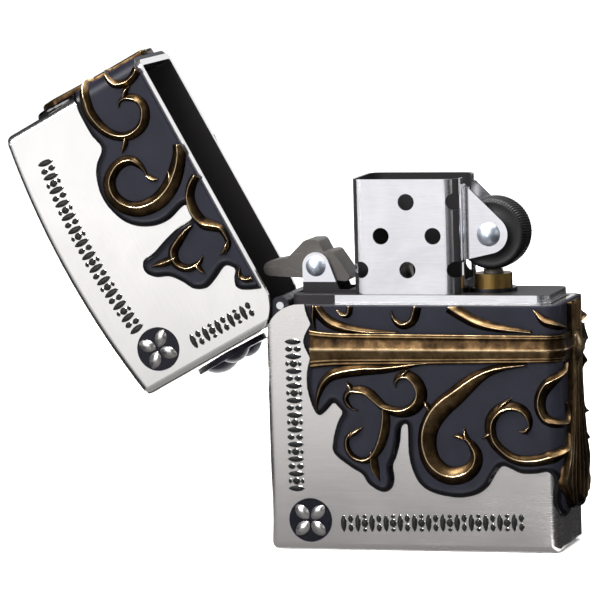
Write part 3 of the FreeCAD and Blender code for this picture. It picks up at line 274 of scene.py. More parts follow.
HINGE = np.array([-17.5, 0.0, 31.93])
OPENED = math.radians(118.6)
turn_back = (math.cos(OPENED), math.sin(OPENED))
pin_turned = np.array([turn_back[0] * HINGE[0] + turn_back[1] * HINGE[2], 0,
                       turn_back[0] * HINGE[2] - turn_back[1] * HINGE[0]])
lid_closed = ([c * mm for c in HINGE - pin_turned], (0, OPENED, 0))


LID_CROWN = 222.8       # twice the radius of the lid's arched top
INSIDE_LID = (19.1, 6.4, 55.1)


def lid_inside_shade(tree, spot):
    """One where a place is inside the lid, painted dark as shade: nearer the middle than the walls'
    half thickness, in X, in Y, and under the crowned top, and zero on the outside and at the cut mouth."""
    split = wire(tree, "SeparateXYZ", {0: spot})
    fall = reckon(tree, "MULTIPLY", reckon(tree, "POWER", split.outputs["X"], 2.0), 1 / (LID_CROWN * mm))
    places = (reckon(tree, "ABSOLUTE", split.outputs["X"]), reckon(tree, "ABSOLUTE", split.outputs["Y"]),
              reckon(tree, "ADD", split.outputs["Z"], fall))
    inside = reckon(tree, "GREATER_THAN", split.outputs["Z"], 32.45 * mm)
    for place, limit in zip(places, INSIDE_LID):
        inside = reckon(tree, "MULTIPLY", inside, reckon(tree, "LESS_THAN", place, limit * mm))
    return inside


dress(worked_metal("nickel_case", (0.80, 0.77, 0.755), (0.73, 0.70, 0.685), (0.17, 0.22),
                   9000.0, 250.0, 0.04), "case_body")
# The lid's copy of the nickel is painted lighter than the case's: painted light for the brighter light on the
# lid.
dress(worked_metal("nickel_lid_painted_lighter", (0.86, 0.84, 0.83), (0.80, 0.78, 0.77), (0.16, 0.21),
                   9000.0, 250.0, 0.04, lid_closed, lid_inside_shade), "case_lid")


# ------------------------------------------------------------------ ornament field on the case
# A cast black plate soldered to the case, from the hinge side of the front round the free
# corner and side to the back. Its edge is a polished roll, and its field is satin.
FOLD = 25.585           # how far round the free side's middle line is from the case's middle
HALF_WIDTH, HALF_DEPTH, CORNER = 19.4, 6.7, 1.2


def around(spot):
    """Wraps (run, height, proud) on to the case: run goes along the front, round a corner whose
    radius is CORNER plus proud, and over the free side; past FOLD it runs on to the back."""
    run, up, proud = np.moveaxis(np.asarray(spot, float), -1, 0)
    back_half = run > FOLD
    near = np.where(back_half, 2 * FOLD - run, run)
    straight = HALF_WIDTH - CORNER
    angle = np.clip((near - straight) / CORNER, 0, math.pi / 2)
    past = np.maximum(near - straight - CORNER * math.pi / 2, 0)
    reach = CORNER + proud
    x = np.minimum(near, straight) + reach * np.sin(angle)
    y = -(HALF_DEPTH - CORNER) - reach * np.cos(angle) + past
    return np.stack([x, np.where(back_half, -y, y), up], -1) * mm


def swung(points):
    """Turns closed-lid places to where the open lid has them, by OPENED about the hinge pin."""
    x, z = points[..., 0] - HINGE[0] * mm, points[..., 2] - HINGE[2] * mm
    return np.stack([HINGE[0] * mm + x * math.cos(OPENED) - z * math.sin(OPENED), points[..., 1],
                     HINGE[2] * mm + x * math.sin(OPENED) + z * math.cos(OPENED)], -1)


def smooth_line(knots, spacing):
    """A curve through the knots: between two of them a cubic whose slope at each knot is half
    the step between its neighbours, then cut into even steps of that spacing."""
    knots = np.array(knots, float)
    p = np.vstack([2 * knots[0] - knots[1], knots, 2 * knots[-1] - knots[-2]])
    a, b, c, d = p[:-3, None], p[1:-2, None], p[2:-1, None], p[3:, None]
    t = np.linspace(0, 1, 24, endpoint=False)[None, :, None]
    curve = 0.5 * (2 * b + (c - a) * t + (2 * a - 5 * b + 4 * c - d) * t ** 2
                   + (3 * b - a - 3 * c + d) * t ** 3)
    curve = np.vstack([curve.reshape(-1, p.shape[1]), knots[-1:]])
    length = np.concatenate([[0], np.cumsum(np.linalg.norm(np.diff(curve, axis=0), axis=1))])
    even = np.linspace(0, length[-1], max(6, int(length[-1] / spacing)))
    return np.column_stack([np.interp(even, length, column) for column in curve.T])


def outward(points, faces):
    """Turns faces round if the closed surface's volume, the sum of each triangle's corner
    products, comes out negative."""
    volume = 0.0
    for block in faces:
        for k in range(1, block.shape[1] - 1):
            a, b, c = points[block[:, 0]], points[block[:, k]], points[block[:, k + 1]]
            volume += np.einsum("ij,ij->", a, np.cross(b, c))
    return faces if volume > 0 else [block[:, ::-1] for block in faces]


def joined(surfaces):
    """Several (points, faces, shine) surfaces as one."""
    points, faces, shine, start = [], [], [], 0
    for part_points, part_faces, part_shine in surfaces:
        points.append(part_points)
        shine.append(part_shine)
        faces += [block + start for block in part_faces]
        start += len(part_points)
    return np.vstack(points), faces, np.concatenate(shine)


def with_back(surface):
    """The surface and its mirror image on the back of the case, faces turned to match."""
    points, faces, shine = surface
    return joined([surface, (points * [1, -1, 1], [block[:, ::-1] for block in faces], shine)])


def build(name, surface, material, body, slot, *stands_for):
    """Makes the piece from whole arrays, with its shine stored on its points for the material."""
    points, faces, shine = surface
    mesh = bpy.data.meshes.new(name)
    mesh.vertices.add(len(points))
    mesh.vertices.foreach_set("co", np.ascontiguousarray(points, np.float32).ravel())
    corners = np.concatenate([block.ravel() for block in faces])
    sizes = np.concatenate([np.full(len(block), block.shape[1]) for block in faces])
    mesh.loops.add(len(corners))
    mesh.loops.foreach_set("vertex_index", corners.astype(np.int32))
    mesh.polygons.add(len(sizes))
    mesh.polygons.foreach_set("loop_start", (np.cumsum(sizes) - sizes).astype(np.int32))
    mesh.polygons.foreach_set("use_smooth", np.ones(len(sizes), bool))
    mesh.update(calc_edges=True)
    mesh.validate()
    mesh.attributes.new("shine", "FLOAT", "POINT").data.foreach_set("value", shine.astype(np.float32))
    mesh.materials.append(material)
    piece = bpy.data.objects.new(name, mesh)
    bpy.context.scene.collection.objects.link(piece)
    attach(piece, body)
    if stands_for:
        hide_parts(*stands_for)
    return piece


def nearest_on(line, spots):
    """For each spot the nearest place on the line, and whether the spot is inside the loop:
    a ray to the right of it crosses the loop an odd number of times."""
    a, b = line[:-1], line[1:]
    step = b - a
    square = np.maximum((step ** 2).sum(1), 1e-12)
    places, inside = [], []
    for block in np.array_split(spots, max(1, len(spots) // 1500)):
        gap = block[:, None] - a[None]
        share = np.clip((gap * step).sum(2) / square, 0, 1)
        foot = a[None] + share[..., None] * step[None]
        best = ((block[:, None] - foot) ** 2).sum(2).argmin(1)
        places.append(foot[np.arange(len(block)), best])
        u, v = block[:, :1], block[:, 1:]
        spans = (a[None, :, 1] > v) != (b[None, :, 1] > v)
        rise = np.where(abs(step[:, 1]) < 1e-9, 1e-9, step[:, 1])
        crossing = a[None, :, 0] + (v - a[None, :, 1]) * step[None, :, 0] / rise
        inside.append((spans & (u < crossing)).sum(1) % 2 == 1)
    return np.vstack(places), np.concatenate(inside)


CREST, FIELD = 0.7, 0.6     # how far the rolled edge and the field stand off the case
ROLL_RADIUS, EASING = 0.6, 0.35     # the rolled edge, and the width of its fall to the field
STEP, MARGIN, UNDER = 0.2, 3, -0.12     # the grid, its reach past mouth and fold, and the underside


def there_and_back(grid):
    """The columns of half a plate up to the fold, then the same ones in reverse."""
    return np.concatenate([grid, grid[:, -2::-1]], 1)


def relief_plate(edge, flat_end, place):
    """A plate over (run, height): at a distance d inside its edge it stands as a quarter circle
    of radius ROLL_RADIUS rises to CREST, then eases down to FIELD. edge runs from the mouth line to the
    fold, flat_end is the height of the mouth line, and the second half mirrors the first."""
    sign = 1 if edge[:, 1].mean() < flat_end else -1
    past_mouth = flat_end + MARGIN * sign
    loop = np.vstack([edge, [[FOLD + MARGIN, edge[-1, 1]], [FOLD + MARGIN, past_mouth],
                             [edge[0, 0], past_mouth]], edge[:1]])
    columns = np.arange(-int((FOLD - edge[:, 0].min()) / STEP) - 2, 1) * STEP + FOLD
    tall = abs(flat_end - (edge[:, 1].min() if sign > 0 else edge[:, 1].max()))
    rows = flat_end - sign * np.arange(int(tall / STEP) + 3) * STEP
    run, up = np.meshgrid(columns, rows)
    spots = np.stack([run, up], -1).reshape(-1, 2)
    foot, _ = nearest_on(edge, spots)
    _, inside = nearest_on(loop, spots)
    shape = run.shape
    inside = inside.reshape(shape)
    cells = inside[:-1, :-1] | inside[1:, :-1] | inside[:-1, 1:] | inside[1:, 1:]
    settled = np.where(inside.reshape(-1, 1), spots, foot).reshape(*shape, 2)
    depth = np.where(inside, np.linalg.norm(spots - foot, axis=1).reshape(shape), 0)
    roll = np.sqrt(1 - (1 - np.clip(depth / ROLL_RADIUS, 0, 1)) ** 2)
    ease = np.clip((depth - ROLL_RADIUS) / EASING, 0, 1)
    stand = there_and_back(CREST * roll - (CREST - FIELD) * ease * ease * (3 - 2 * ease))
    cells = np.concatenate([cells, cells[:, ::-1]], 1)
    run_all = np.concatenate([settled[..., 0], 2 * FOLD - settled[:, -2::-1, 0]], 1)
    up_all = there_and_back(settled[..., 1])
    number = np.arange(run_all.size).reshape(run_all.shape)
    a, b, c, d = number[:-1, :-1], number[1:, :-1], number[1:, 1:], number[:-1, 1:]
    top = np.stack([a, b, c, d], -1)[cells]
    padded = np.pad(cells, 1)
    walls = []
    for first, second, beyond in ((a, b, padded[1:-1, :-2]), (b, c, padded[2:, 1:-1]),
                                  (c, d, padded[1:-1, 2:]), (d, a, padded[:-2, 1:-1])):
        rim = cells & ~beyond
        walls.append(np.stack([second[rim], first[rim], first[rim] + number.size,
                               second[rim] + number.size], -1))
    faces = np.vstack([top, top[:, ::-1] + number.size, *walls])
    points = np.vstack([place(np.stack([run_all, up_all, level], -1).reshape(-1, 3))
                        for level in (stand, np.full(run_all.shape, UNDER))])
    used, faces = np.unique(faces, return_inverse=True)
    points, shine = points[used], np.tile(there_and_back(1 - ease).ravel(), 2)[used]
    return points, outward(points, [faces.reshape(-1, 4)]), shine


enamel_group, given, out = effect_group("enamel", [("Vector", "Vector"), ("Gloss", "Float")],
                                        [("Color", "Color"), ("Roughness", "Float"), ("Height", "Float")])
tree = enamel_group
cast_grain = wire(tree, "TexNoise", {"Vector": given.outputs["Vector"], "Scale": 2600.0, "Detail": 5.0})
clouds = wire(tree, "TexNoise", {"Vector": given.outputs["Vector"], "Scale": 260.0, "Detail": 2.0})
tint = wire(tree, "Mix", {0: clouds.outputs["Fac"], 6: (0.004, 0.004, 0.008, 1), 7: (0.009, 0.009, 0.015, 1)},
            data_type="RGBA")
# Where gloss is one the colour is blacker too: partly the deeper black of polished enamel, partly a painted
# dark reflection on the rolled edge.
tint = wire(tree, "Mix", {0: given.outputs["Gloss"], 6: tint.outputs[2], 7: (0.0012, 0.0012, 0.0016, 1)},
            data_type="RGBA")
satin = wire(tree, "MapRange", {0: given.outputs["Gloss"], 3: 0.42, 4: 0.12})
fill_outputs(tree, out, Color=tint.outputs[2], Roughness=satin.outputs[0], Height=cast_grain.outputs["Fac"])


def enamelled(name, gloss):
    """Blue-black enamel, satin where gloss is 0 and polished where it is 1; a gloss of None
    reads it from the piece's own shine."""
    material, tree, out = new_material(name)
    group = wire(tree, "Group", node_tree=enamel_group)
    tree.links.new(wire(tree, "TexCoord").outputs["Object"], group.inputs["Vector"])
    if gloss is None:
        own_shine = wire(tree, "Attribute", attribute_name="shine").outputs["Fac"]
        tree.links.new(own_shine, group.inputs["Gloss"])
    else:
        group.inputs["Gloss"].default_value = gloss
    raised = wire(tree, "Bump", {"Strength": 0.25, "Distance": 0.00003, "Height": group.outputs["Height"]})
    shader = wire(tree, "BsdfPrincipled", {
        "Base Color": group.outputs["Color"], "Roughness": group.outputs["Roughness"],
        "Specular IOR Level": 0.16, "Normal": raised.outputs[0]})
    tree.links.new(shader.outputs[0], out.inputs[0])
    return material


field_enamel = enamelled("field_enamel", None)
CASE_EDGE = [
    [(-14.0, 32.2), (-13.75, 31.0), (-13.2, 29.7)],
    [(-13.2, 29.7), (-14.05, 28.2), (-14.2, 27.0), (-13.4, 25.2)],
    [(-13.4, 25.2), (-13.85, 23.4), (-13.85, 21.2), (-13.2, 18.8), (-12.45, 17.75), (-11.6, 18.1),
     (-10.3, 19.5)],
    [(-10.3, 19.5), (-9.15, 18.2)],
    [(-9.15, 18.2), (-9.95, 16.7), (-10.6, 14.3), (-10.4, 12.7), (-8.3, 11.0), (-6.75, 10.05), (-6.05, 8.95),
     (-4.95, 8.1), (-3.85, 7.75), (-2.85, 8.25), (-2.45, 9.5), (-2.6, 11.2), (-2.05, 12.55), (-1.55, 14.5),
     (-1.35, 16.15), (-0.85, 16.7), (-0.5, 16.3), (-0.45, 12.85), (0.05, 10.6), (1.05, 8.8), (2.85, 7.7),
     (5.9, 7.15), (8.4, 7.55), (10.05, 8.65), (11.15, 10.35), (12.0, 11.3), (13.1, 11.0), (14.5, 10.4),
     (16.45, 10.4), (18.0, 10.6), (18.75, 9.6), (18.55, 7.9), (18.7, 6.0), (20.0, 4.7), (21.8, 4.65),
     (23.6, 5.4), (FOLD, 5.8)],
]
case_edge = np.vstack([smooth_line(run, 0.22)[:-1] for run in CASE_EDGE] + [[[FOLD, 5.8]]])
build("case_field", relief_plate(case_edge, 32.2, around), field_enamel, "case",
      "black_enamel", "case_ornament_plate")


# ------------------------------------------------------------------ cast scrolls on the case
# Antique brass scrolls cast in one with the field: each has a sharp bright ridge with a wide
# flank on its outer side and a steep one inside, dark patina where polishing can't reach, and
# painted shade on the steep inner flank.
cast_group, given, out = effect_group("antique_cast", [("Vector", "Vector"), ("Shine", "Float")],
                                      [("Color", "Color"), ("Roughness", "Float"), ("Height", "Float")])
tree = cast_group
pitting = wire(tree, "TexNoise", {"Vector": given.outputs["Vector"], "Scale": 3500.0, "Detail": 5.0,
                                  "Roughness": 0.65})
blotches = wire(tree, "TexNoise", {"Vector": given.outputs["Vector"], "Scale": 700.0, "Detail": 4.0,
                                   "Roughness": 0.6})
swing = wire(tree, "MapRange", {0: blotches.outputs["Fac"], 1: 0.3, 2: 0.7, 3: -0.16, 4: 0.16})
worn = wire(tree, "Math", {0: given.outputs["Shine"], 1: swing.outputs[0]}, operation="ADD", use_clamp=True)
ramp = wire(tree, "ValToRGB", {0: worn.outputs[0]})
stops = ramp.color_ramp.elements
stops[0].color, stops[-1].color = (0.004, 0.003, 0.002, 1), (0.88, 0.66, 0.40, 1)
for worn_to, colour in ((0.2, (0.026, 0.015, 0.007, 1)), (0.45, (0.085, 0.053, 0.024, 1)),
                        (0.75, (0.24, 0.155, 0.075, 1))):
    stops.new(worn_to).color = colour
smoothness = wire(tree, "MapRange", {0: worn.outputs[0], 3: 0.46, 4: 0.22})
fill_outputs(tree, out, Color=ramp.outputs[0], Roughness=smoothness.outputs[0],
             Height=pitting.outputs["Fac"])

antique_brass, tree, out = new_material("antique_brass")
group = wire(tree, "Group", node_tree=cast_group)
tree.links.new(wire(tree, "TexCoord").outputs["Object"], group.inputs["Vector"])
tree.links.new(wire(tree, "Attribute", attribute_name="shine").outputs["Fac"], group.inputs["Shine"])
raised = wire(tree, "Bump", {"Strength": 0.3, "Distance": 0.00004, "Height": group.outputs["Height"]})
shader = wire(tree, "BsdfPrincipled", {"Base Color": group.outputs["Color"], "Metallic": 1.0,
                                       "Roughness": group.outputs["Roughness"], "Normal": raised.outputs[0]})
tree.links.new(shader.outputs[0], out.inputs[0])


def closed_ring(rings, shine, place):
    """Rings of points, one after another, as a skin: each ring closes on itself and the first
    and last are filled by fans to their middles."""
    count, width = rings.shape[:2]
    number = np.arange(count * width).reshape(count, width)
    after = np.roll(number, -1, 1)
    skin = np.stack([number[:-1], after[:-1], after[1:], number[1:]], -1).reshape(-1, 4)
    ends = np.stack([rings[0].mean(0), rings[-1].mean(0)])
    first, last = count * width, count * width + 1
    fans = np.vstack([np.stack([after[0], number[0], np.full(width, first)], -1),
                      np.stack([number[-1], after[-1], np.full(width, last)], -1)])
    points = place(np.vstack([rings.reshape(-1, rings.shape[2]), ends]))
    shine = np.concatenate([shine.ravel(), [shine[0].mean(), shine[-1].mean()]])
    return points, outward(points, [skin, fans]), shine


def eased(values, count):
    """The values spread evenly over count steps, with their corners rounded by averaging each
    step with its neighbours under a raised cosine."""
    flat = np.interp(np.linspace(0, len(values) - 1, count), np.arange(len(values)), values)
    reach = max(1, count // (3 * len(values)))
    window = np.hanning(2 * reach + 3)
    return np.convolve(np.pad(flat, reach + 1, mode="edge"), window / window.sum(), "valid")


# Its shine falls lower on the right, the steep inner flank, than on the wide outer one: patina at both feet,
# and painted shade on the inner flank.
SCROLL_CUT = np.array([
    (-1.0, 0.0, 0.0), (-0.96, 0.20, 0.05), (-0.8, 0.28, 0.14), (-0.6, 0.40, 0.30), (-0.4, 0.56, 0.45),
    (-0.22, 0.76, 0.5), (-0.09, 0.93, 0.5), (-0.035, 1.0, 1.0), (0.035, 1.0, 1.0), (0.12, 0.86, 0.45),
    (0.35, 0.56, 0.25), (0.65, 0.34, 0.12), (0.92, 0.2, 0.03), (1.0, 0.0, 0.0)])
SUNK, BASE = 0.45, 0.58


def ridged_strip(knots, left, right, rise, cut, place, spacing=0.16):
    """A cast strip: the cut, given as (across, height, shine) with across from -1 at the left
    edge to 1 at the right, is carried along the line through the knots, and is as wide to each
    side, and as high, as left, right and rise say along the way."""
    line = smooth_line(knots, spacing)
    count = len(line)
    forward = np.gradient(line, axis=0)
    forward /= np.linalg.norm(forward, axis=1)[:, None]
    sideways = np.stack([-forward[:, 1], forward[:, 0]], -1)
    left, right, rise = (eased(side, count) for side in (left, right, rise))
    across = cut[:, 0]
    reach = np.where(across < 0, -across * left[:, None], -across * right[:, None])
    flat = line[:, None] + reach[..., None] * sideways[:, None]
    tall = BASE + cut[:, 1] * rise[:, None]
    top = np.concatenate([flat, tall[..., None]], -1)
    foot = top[:, [-1, 0]].copy()
    foot[..., 2] = SUNK
    shine = np.broadcast_to(cut[:, 2], (count, len(cut)))
    shine = np.concatenate([shine, np.zeros((count, 2))], 1)
    return closed_ring(np.concatenate([top, foot], 1), shine, place)


CASE_SCROLLS = [
    # upper flare of the bar's left end
    ([(-12.1, 32.1), (-11.3, 30.9), (-9.95, 29.8), (-7.7, 29.1), (-4.95, 28.75), (-1.3, 28.7)],
     [0.5, 0.7, 0.6, 0.4, 0.15], [1.0, 0.9, 0.5, 0.3, 0.1], [0.7, 0.85, 0.8, 0.7, 0.4]),
    ([(-12.5, 32.1), (-12.6, 30.5), (-12.4, 29.0)], [0.4, 0.35, 0.1], [0.4, 0.35, 0.1], [0.6, 0.6, 0.4]),
    # lower flare
    ([(-12.45, 18.3), (-12.45, 19.5), (-12.15, 20.6), (-11.6, 21.9), (-10.5, 23.0), (-8.8, 23.6),
      (-6.05, 24.0), (-3.3, 24.1), (0.05, 24.5), (3.0, 24.8)],
     [0.05, 0.5, 0.75, 0.7, 0.45, 0.3, 0.15], [0.05, 0.5, 0.9, 1.0, 0.8, 0.5, 0.1],
     [0.3, 0.7, 0.85, 0.85, 0.8, 0.7, 0.4]),
    # hook, loop and arm above the bar
    ([(-9.4, 31.6), (-8.7, 30.95), (-7.9, 31.1), (-7.7, 32.1)],
     [0.1, 0.4, 0.4], [0.1, 0.45, 0.5], [0.3, 0.7, 0.7]),
    ([(-2.1, 31.5), (-1.75, 30.5), (-0.65, 29.8), (0.55, 30.4), (1.15, 32.1)],
     [0.05, 0.3, 0.35, 0.35], [0.1, 0.7, 0.8, 0.8], [0.3, 0.75, 0.8, 0.8]),
    ([(5.6, 32.1), (7.3, 31.0), (9.5, 29.9), (12.3, 29.25), (16.4, 28.8)],
     [0.9, 0.8, 0.6, 0.2], [0.9, 0.8, 0.5, 0.1], [0.85, 0.85, 0.8, 0.5]),
    ([(16.7, 31.7), (18.1, 30.3), (19.8, 29.4), (21.0, 29.0)], [0.1, 0.6, 0.5, 0.1], [0.1, 0.7, 0.6, 0.2],
     [0.3, 0.8, 0.8, 0.5]),
    # small double curl under the bar
    ([(-6.9, 18.5), (-7.7, 18.75), (-8.35, 19.5), (-8.45, 20.3), (-7.9, 20.95), (-6.9, 21.0), (-5.8, 20.7),
      (-4.65, 19.8), (-3.55, 18.95), (-2.15, 18.6), (-0.8, 18.65), (0.45, 19.35), (1.1, 20.6), (0.75, 22.0),
      (-0.2, 22.85), (-1.2, 22.8), (-1.8, 22.15), (-1.8, 21.5)],
     [0.05, 0.45, 0.5, 0.85, 0.95, 0.75, 0.5, 0.4, 0.4, 0.35, 0.3, 0.3, 0.1],
     [0.05, 0.3, 0.35, 0.35, 0.35, 0.45, 0.8, 1.1, 1.3, 1.3, 1.1, 0.7, 0.1],
     [0.2, 0.6, 0.75, 0.85, 0.85, 0.85, 0.85, 0.85, 0.8, 0.3]),
    # branch under it with its tail
    ([(-3.5, 18.9), (-3.5, 17.3), (-3.85, 15.6), (-4.4, 13.95), (-5.2, 12.6), (-6.3, 12.05), (-7.6, 12.4),
      (-8.4, 13.4), (-8.5, 14.65), (-8.0, 15.5), (-7.3, 15.9)],
     [0.5, 0.9, 1.0, 0.9, 0.6, 0.5, 0.5, 0.4, 0.1], [0.15, 0.3, 0.35, 0.35, 0.35, 0.35, 0.35, 0.3, 0.1],
     [0.7, 0.85, 0.85, 0.85, 0.85, 0.8, 0.7, 0.3]),
    ([(-5.2, 13.2), (-5.25, 11.8), (-5.0, 10.6), (-4.3, 9.3)], [0.5, 0.9, 0.8, 0.05], [0.2, 0.3, 0.3, 0.05],
     [0.8, 0.8, 0.7, 0.2]),
    # great scroll
    ([(15.6, 24.6), (12.8, 24.3), (10.6, 23.8), (8.4, 22.7), (6.2, 21.2), (4.2, 19.8), (2.85, 18.4),
      (2.0, 16.7), (1.7, 15.05), (1.85, 13.4), (2.55, 11.7), (3.95, 10.45), (5.6, 10.05), (7.3, 10.5),
      (8.4, 11.6),
      (8.65, 12.85), (8.1, 14.1), (7.3, 14.9), (6.45, 15.35)],
     [0.2, 0.5, 0.8, 1.4, 1.9, 2.1, 1.9, 1.7, 1.5, 1.3, 1.0, 0.6, 0.1],
     [0.2, 0.45, 0.6, 0.8, 0.7, 0.6, 0.65, 0.8, 1.1, 1.2, 1.1, 0.8, 0.15],
     [0.5, 0.85, 0.87, 0.87, 0.87, 0.87, 0.87, 0.87, 0.85, 0.3]),
    # curl by the corner, whose arm wraps round it
    ([(15.4, 15.6), (15.8, 16.5), (15.75, 17.4), (15.05, 18.5), (13.65, 18.95), (12.3, 18.65), (11.3, 17.7),
      (10.9, 16.45), (11.15, 14.8), (12.3, 13.4), (13.95, 12.4), (16.15, 12.2), (18.4, 12.7), (20.3, 13.8),
      (21.6, 15.4)],
     [0.05, 0.3, 0.35, 0.4, 0.45, 0.5, 0.55, 0.6, 0.7, 0.8, 0.6, 0.2],
     [0.05, 0.6, 0.9, 1.1, 1.1, 0.9, 0.8, 0.8, 0.8, 0.9, 0.6, 0.2],
     [0.3, 0.8, 0.86, 0.86, 0.86, 0.86, 0.86, 0.86, 0.5]),
    ([(21.0, 24.6), (19.8, 23.6), (18.1, 22.1), (17.3, 20.6), (17.2, 19.0), (18.0, 17.5), (19.8, 16.9),
      (21.2, 17.8), (21.0, 19.4)],
     [0.2, 0.6, 0.9, 0.9, 0.8, 0.6, 0.4, 0.1], [0.2, 0.5, 0.6, 0.7, 0.7, 0.6, 0.4, 0.1],
     [0.5, 0.85, 0.85, 0.85, 0.8, 0.3]),
]
LEAF_CUT = np.array([
    (-1.0, 0.0, 0.0), (-0.9, 0.3, 0.3), (-0.5, 0.62, 0.55), (-0.12, 0.9, 0.85), (0.0, 1.0, 1.0),
    (0.12, 0.9, 0.85), (0.5, 0.62, 0.5), (0.9, 0.3, 0.2), (1.0, 0.0, 0.0)])
CASE_LEAVES = [((-7.6, 20.7), (-7.9, 21.6), (-8.4, 22.3)), ((-1.1, 22.7), (-0.6, 23.4), (0.1, 23.9)),
               ((2.6, 18.6), (2.3, 19.3), (1.9, 19.8)), ((-8.2, 15.0), (-7.2, 15.8), (-6.3, 16.3)),
               ((8.2, 14.2), (7.4, 15.2), (7.2, 16.4)), ((7.2, 14.9), (6.4, 15.3), (5.6, 15.2)),
               ((11.6, 18.6), (12.5, 19.5), (13.6, 20.3)), ((10.9, 15.8), (10.2, 15.4), (9.5, 15.0)),
               ((15.9, 16.6), (15.2, 16.0), (14.4, 16.0))]


def leaf(knots, place):
    """A small pointed leaf: widest a third of the way along, sharp at its far end."""
    return ridged_strip(knots, [0.15, 0.45, 0.35, 0.05], [0.15, 0.4, 0.3, 0.05], [0.6, 0.82, 0.7, 0.2],
                        LEAF_CUT, place, 0.12)


CASE_MOUTH = 32.15


def below_mouth(spot):
    """Wraps on to the case, with every height above the case's mouth brought down to it."""
    spot = np.array(spot, float)
    spot[..., 1] = np.minimum(spot[..., 1], CASE_MOUTH)
    return around(spot)


case_scrolls = [ridged_strip(knots, left, right, rise, SCROLL_CUT, below_mouth)
                for knots, left, right, rise in CASE_SCROLLS]
case_scrolls += [leaf(knots, below_mouth) for knots in CASE_LEAVES]
build("case_scrolls", with_back(joined(case_scrolls)), antique_brass, "case", "antique_brass",
      "case_scrollwork")


# ------------------------------------------------------------------ crossbar, side strap and boss
# The wrapped cross: a ribbed bar round the front, side and back, a ribbed strap down the free
# side that ends in two lobes, and a domed boss in a twisted collar where they meet.
# The upper band (left in the cut) has less shine than the lower band: a darker stippled brown, and also
# painted darker as shade, with the lower band painted lighter, for how the light falls on them.
BAR_CUT = np.array([
    (-1.0, 0.0, 0.0), (-0.97, 0.42, 0.3), (-0.93, 0.56, 0.95), (-0.89, 0.46, 0.3), (-0.83, 0.44, 0.3),
    (-0.78, 0.56, 0.7), (-0.73, 0.5, 0.15), (-0.55, 0.62, 0.15), (-0.35, 0.76, 0.18), (-0.15, 0.92, 0.24),
    (-0.035, 1.0, 0.98), (0.035, 1.0, 0.98), (0.09, 0.88, 0.7), (0.2, 0.74, 0.62), (0.38, 0.6, 0.56),
    (0.56, 0.5, 0.48), (0.62, 0.46, 0.3), (0.66, 0.58, 0.9), (0.70, 0.42, 0.2), (0.8, 0.4, 0.2),
    (0.86, 0.54, 0.85), (0.91, 0.4, 0.2), (0.96, 0.38, 0.2), (1.0, 0.0, 0.0)])
bar_surface = ridged_strip([(-13.1, 26.45), (-12.0, 26.45), (0.0, 26.45), (12.0, 26.45), (FOLD + 0.3, 26.5)],
                           [2.6, 2.35, 2.2, *[2.15 - 0.01 * k for k in range(20)]],
                           [2.6, 2.35, 2.2, *[2.15 - 0.035 * k for k in range(20)]],
                           [0.5, *[0.86] * 30], BAR_CUT, around, 0.2)
build("crossbar", with_back(bar_surface), antique_brass, "case", "antique_brass", "crossbar_wrap")


STRAP_RIBS = (0.0, 0.36, 0.7, 0.93)
STRAP_ROWS = 110


def ribbed_strap(top, end, lobe, half_widths, place):
    """A strap down the middle of the free side. A place is (share down, share across from -1 to
    1): its width follows half_widths, its end dips by lobe times the sine of the share across,
    and it stands as sharp ribs at the STRAP_RIBS, each a falling power of the distance."""
    down = np.linspace(0, 1, STRAP_ROWS)[:, None]
    across = np.linspace(-1, 1, 61)[None]
    widths = eased(half_widths, STRAP_ROWS)[:, None]
    finish = end - lobe * np.sin(math.pi * np.abs(across)) ** 1.5
    high = top + (finish - top) * down
    run = FOLD + widths * across
    away_from = np.min([np.abs(np.abs(across) - rib) for rib in STRAP_RIBS], 0)
    rib = np.clip(1 - away_from / 0.13, 0, 1) ** 1.2
    edge = np.clip((1 - np.abs(across)) / 0.06, 0, 1) * np.clip((1 - down) / 0.02, 0, 1)
    tall = BASE + (0.35 + 0.45 * rib) * np.sqrt(edge)
    sheet = np.stack(np.broadcast_arrays(run, high, tall), -1)
    shine = np.broadcast_to(np.where(edge < 1, 0.2, 0.12 + 0.85 * rib ** 2), tall.shape)
    foot = sheet[:, [-1, 0]].copy()
    foot[..., 2] = SUNK
    shine = np.concatenate([shine, np.zeros((STRAP_ROWS, 2))], 1)
    return closed_ring(np.concatenate([sheet, foot], 1), shine, place)


strap_surface = ribbed_strap(32.1, 6.3, 1.1, [2.7, 2.6, 2.5, 2.6, 2.8, 3.2, 3.8, 4.7, 6.1, 6.7, 5.2], around)
build("side_strap", strap_surface, antique_brass, "case", "antique_brass", "case_side_strap")

BOSS_HEIGHT = 26.1
DOME_RADIUS, DOME_RISE = 2.15, 1.33
COLLAR_RADIUS, CORD_RADIUS, TWISTS = 2.25, 0.3, 14
ring = np.linspace(0, math.pi / 2, 22)[:, None]
turn = np.linspace(0, 2 * math.pi, 96, endpoint=False)[None]
dome_width = DOME_RADIUS * np.sin(ring)
dome = np.stack([FOLD + dome_width * np.cos(turn), BOSS_HEIGHT + dome_width * np.sin(turn),
                 0.75 + DOME_RISE * np.cos(ring) ** 0.85 + 0 * turn], -1)
dome_shine = 0.62 + 0.3 * np.cos(ring) + 0 * turn
collar_turn = np.linspace(0, 2 * math.pi, 144, endpoint=False)[:, None]
around_cord = np.linspace(0, 2 * math.pi, 12, endpoint=False)[None]
twist = np.cos(TWISTS * collar_turn + 2 * around_cord)
cord = CORD_RADIUS * (1 + 0.1 * twist)
collar_reach = COLLAR_RADIUS + cord * np.cos(around_cord)
collar = np.stack([FOLD + collar_reach * np.cos(collar_turn),
                   BOSS_HEIGHT + collar_reach * np.sin(collar_turn),
                   1.0 + cord * np.sin(around_cord) + 0 * collar_turn], -1)
rows, columns = collar.shape[:2]
number = np.arange(rows * columns).reshape(rows, columns)
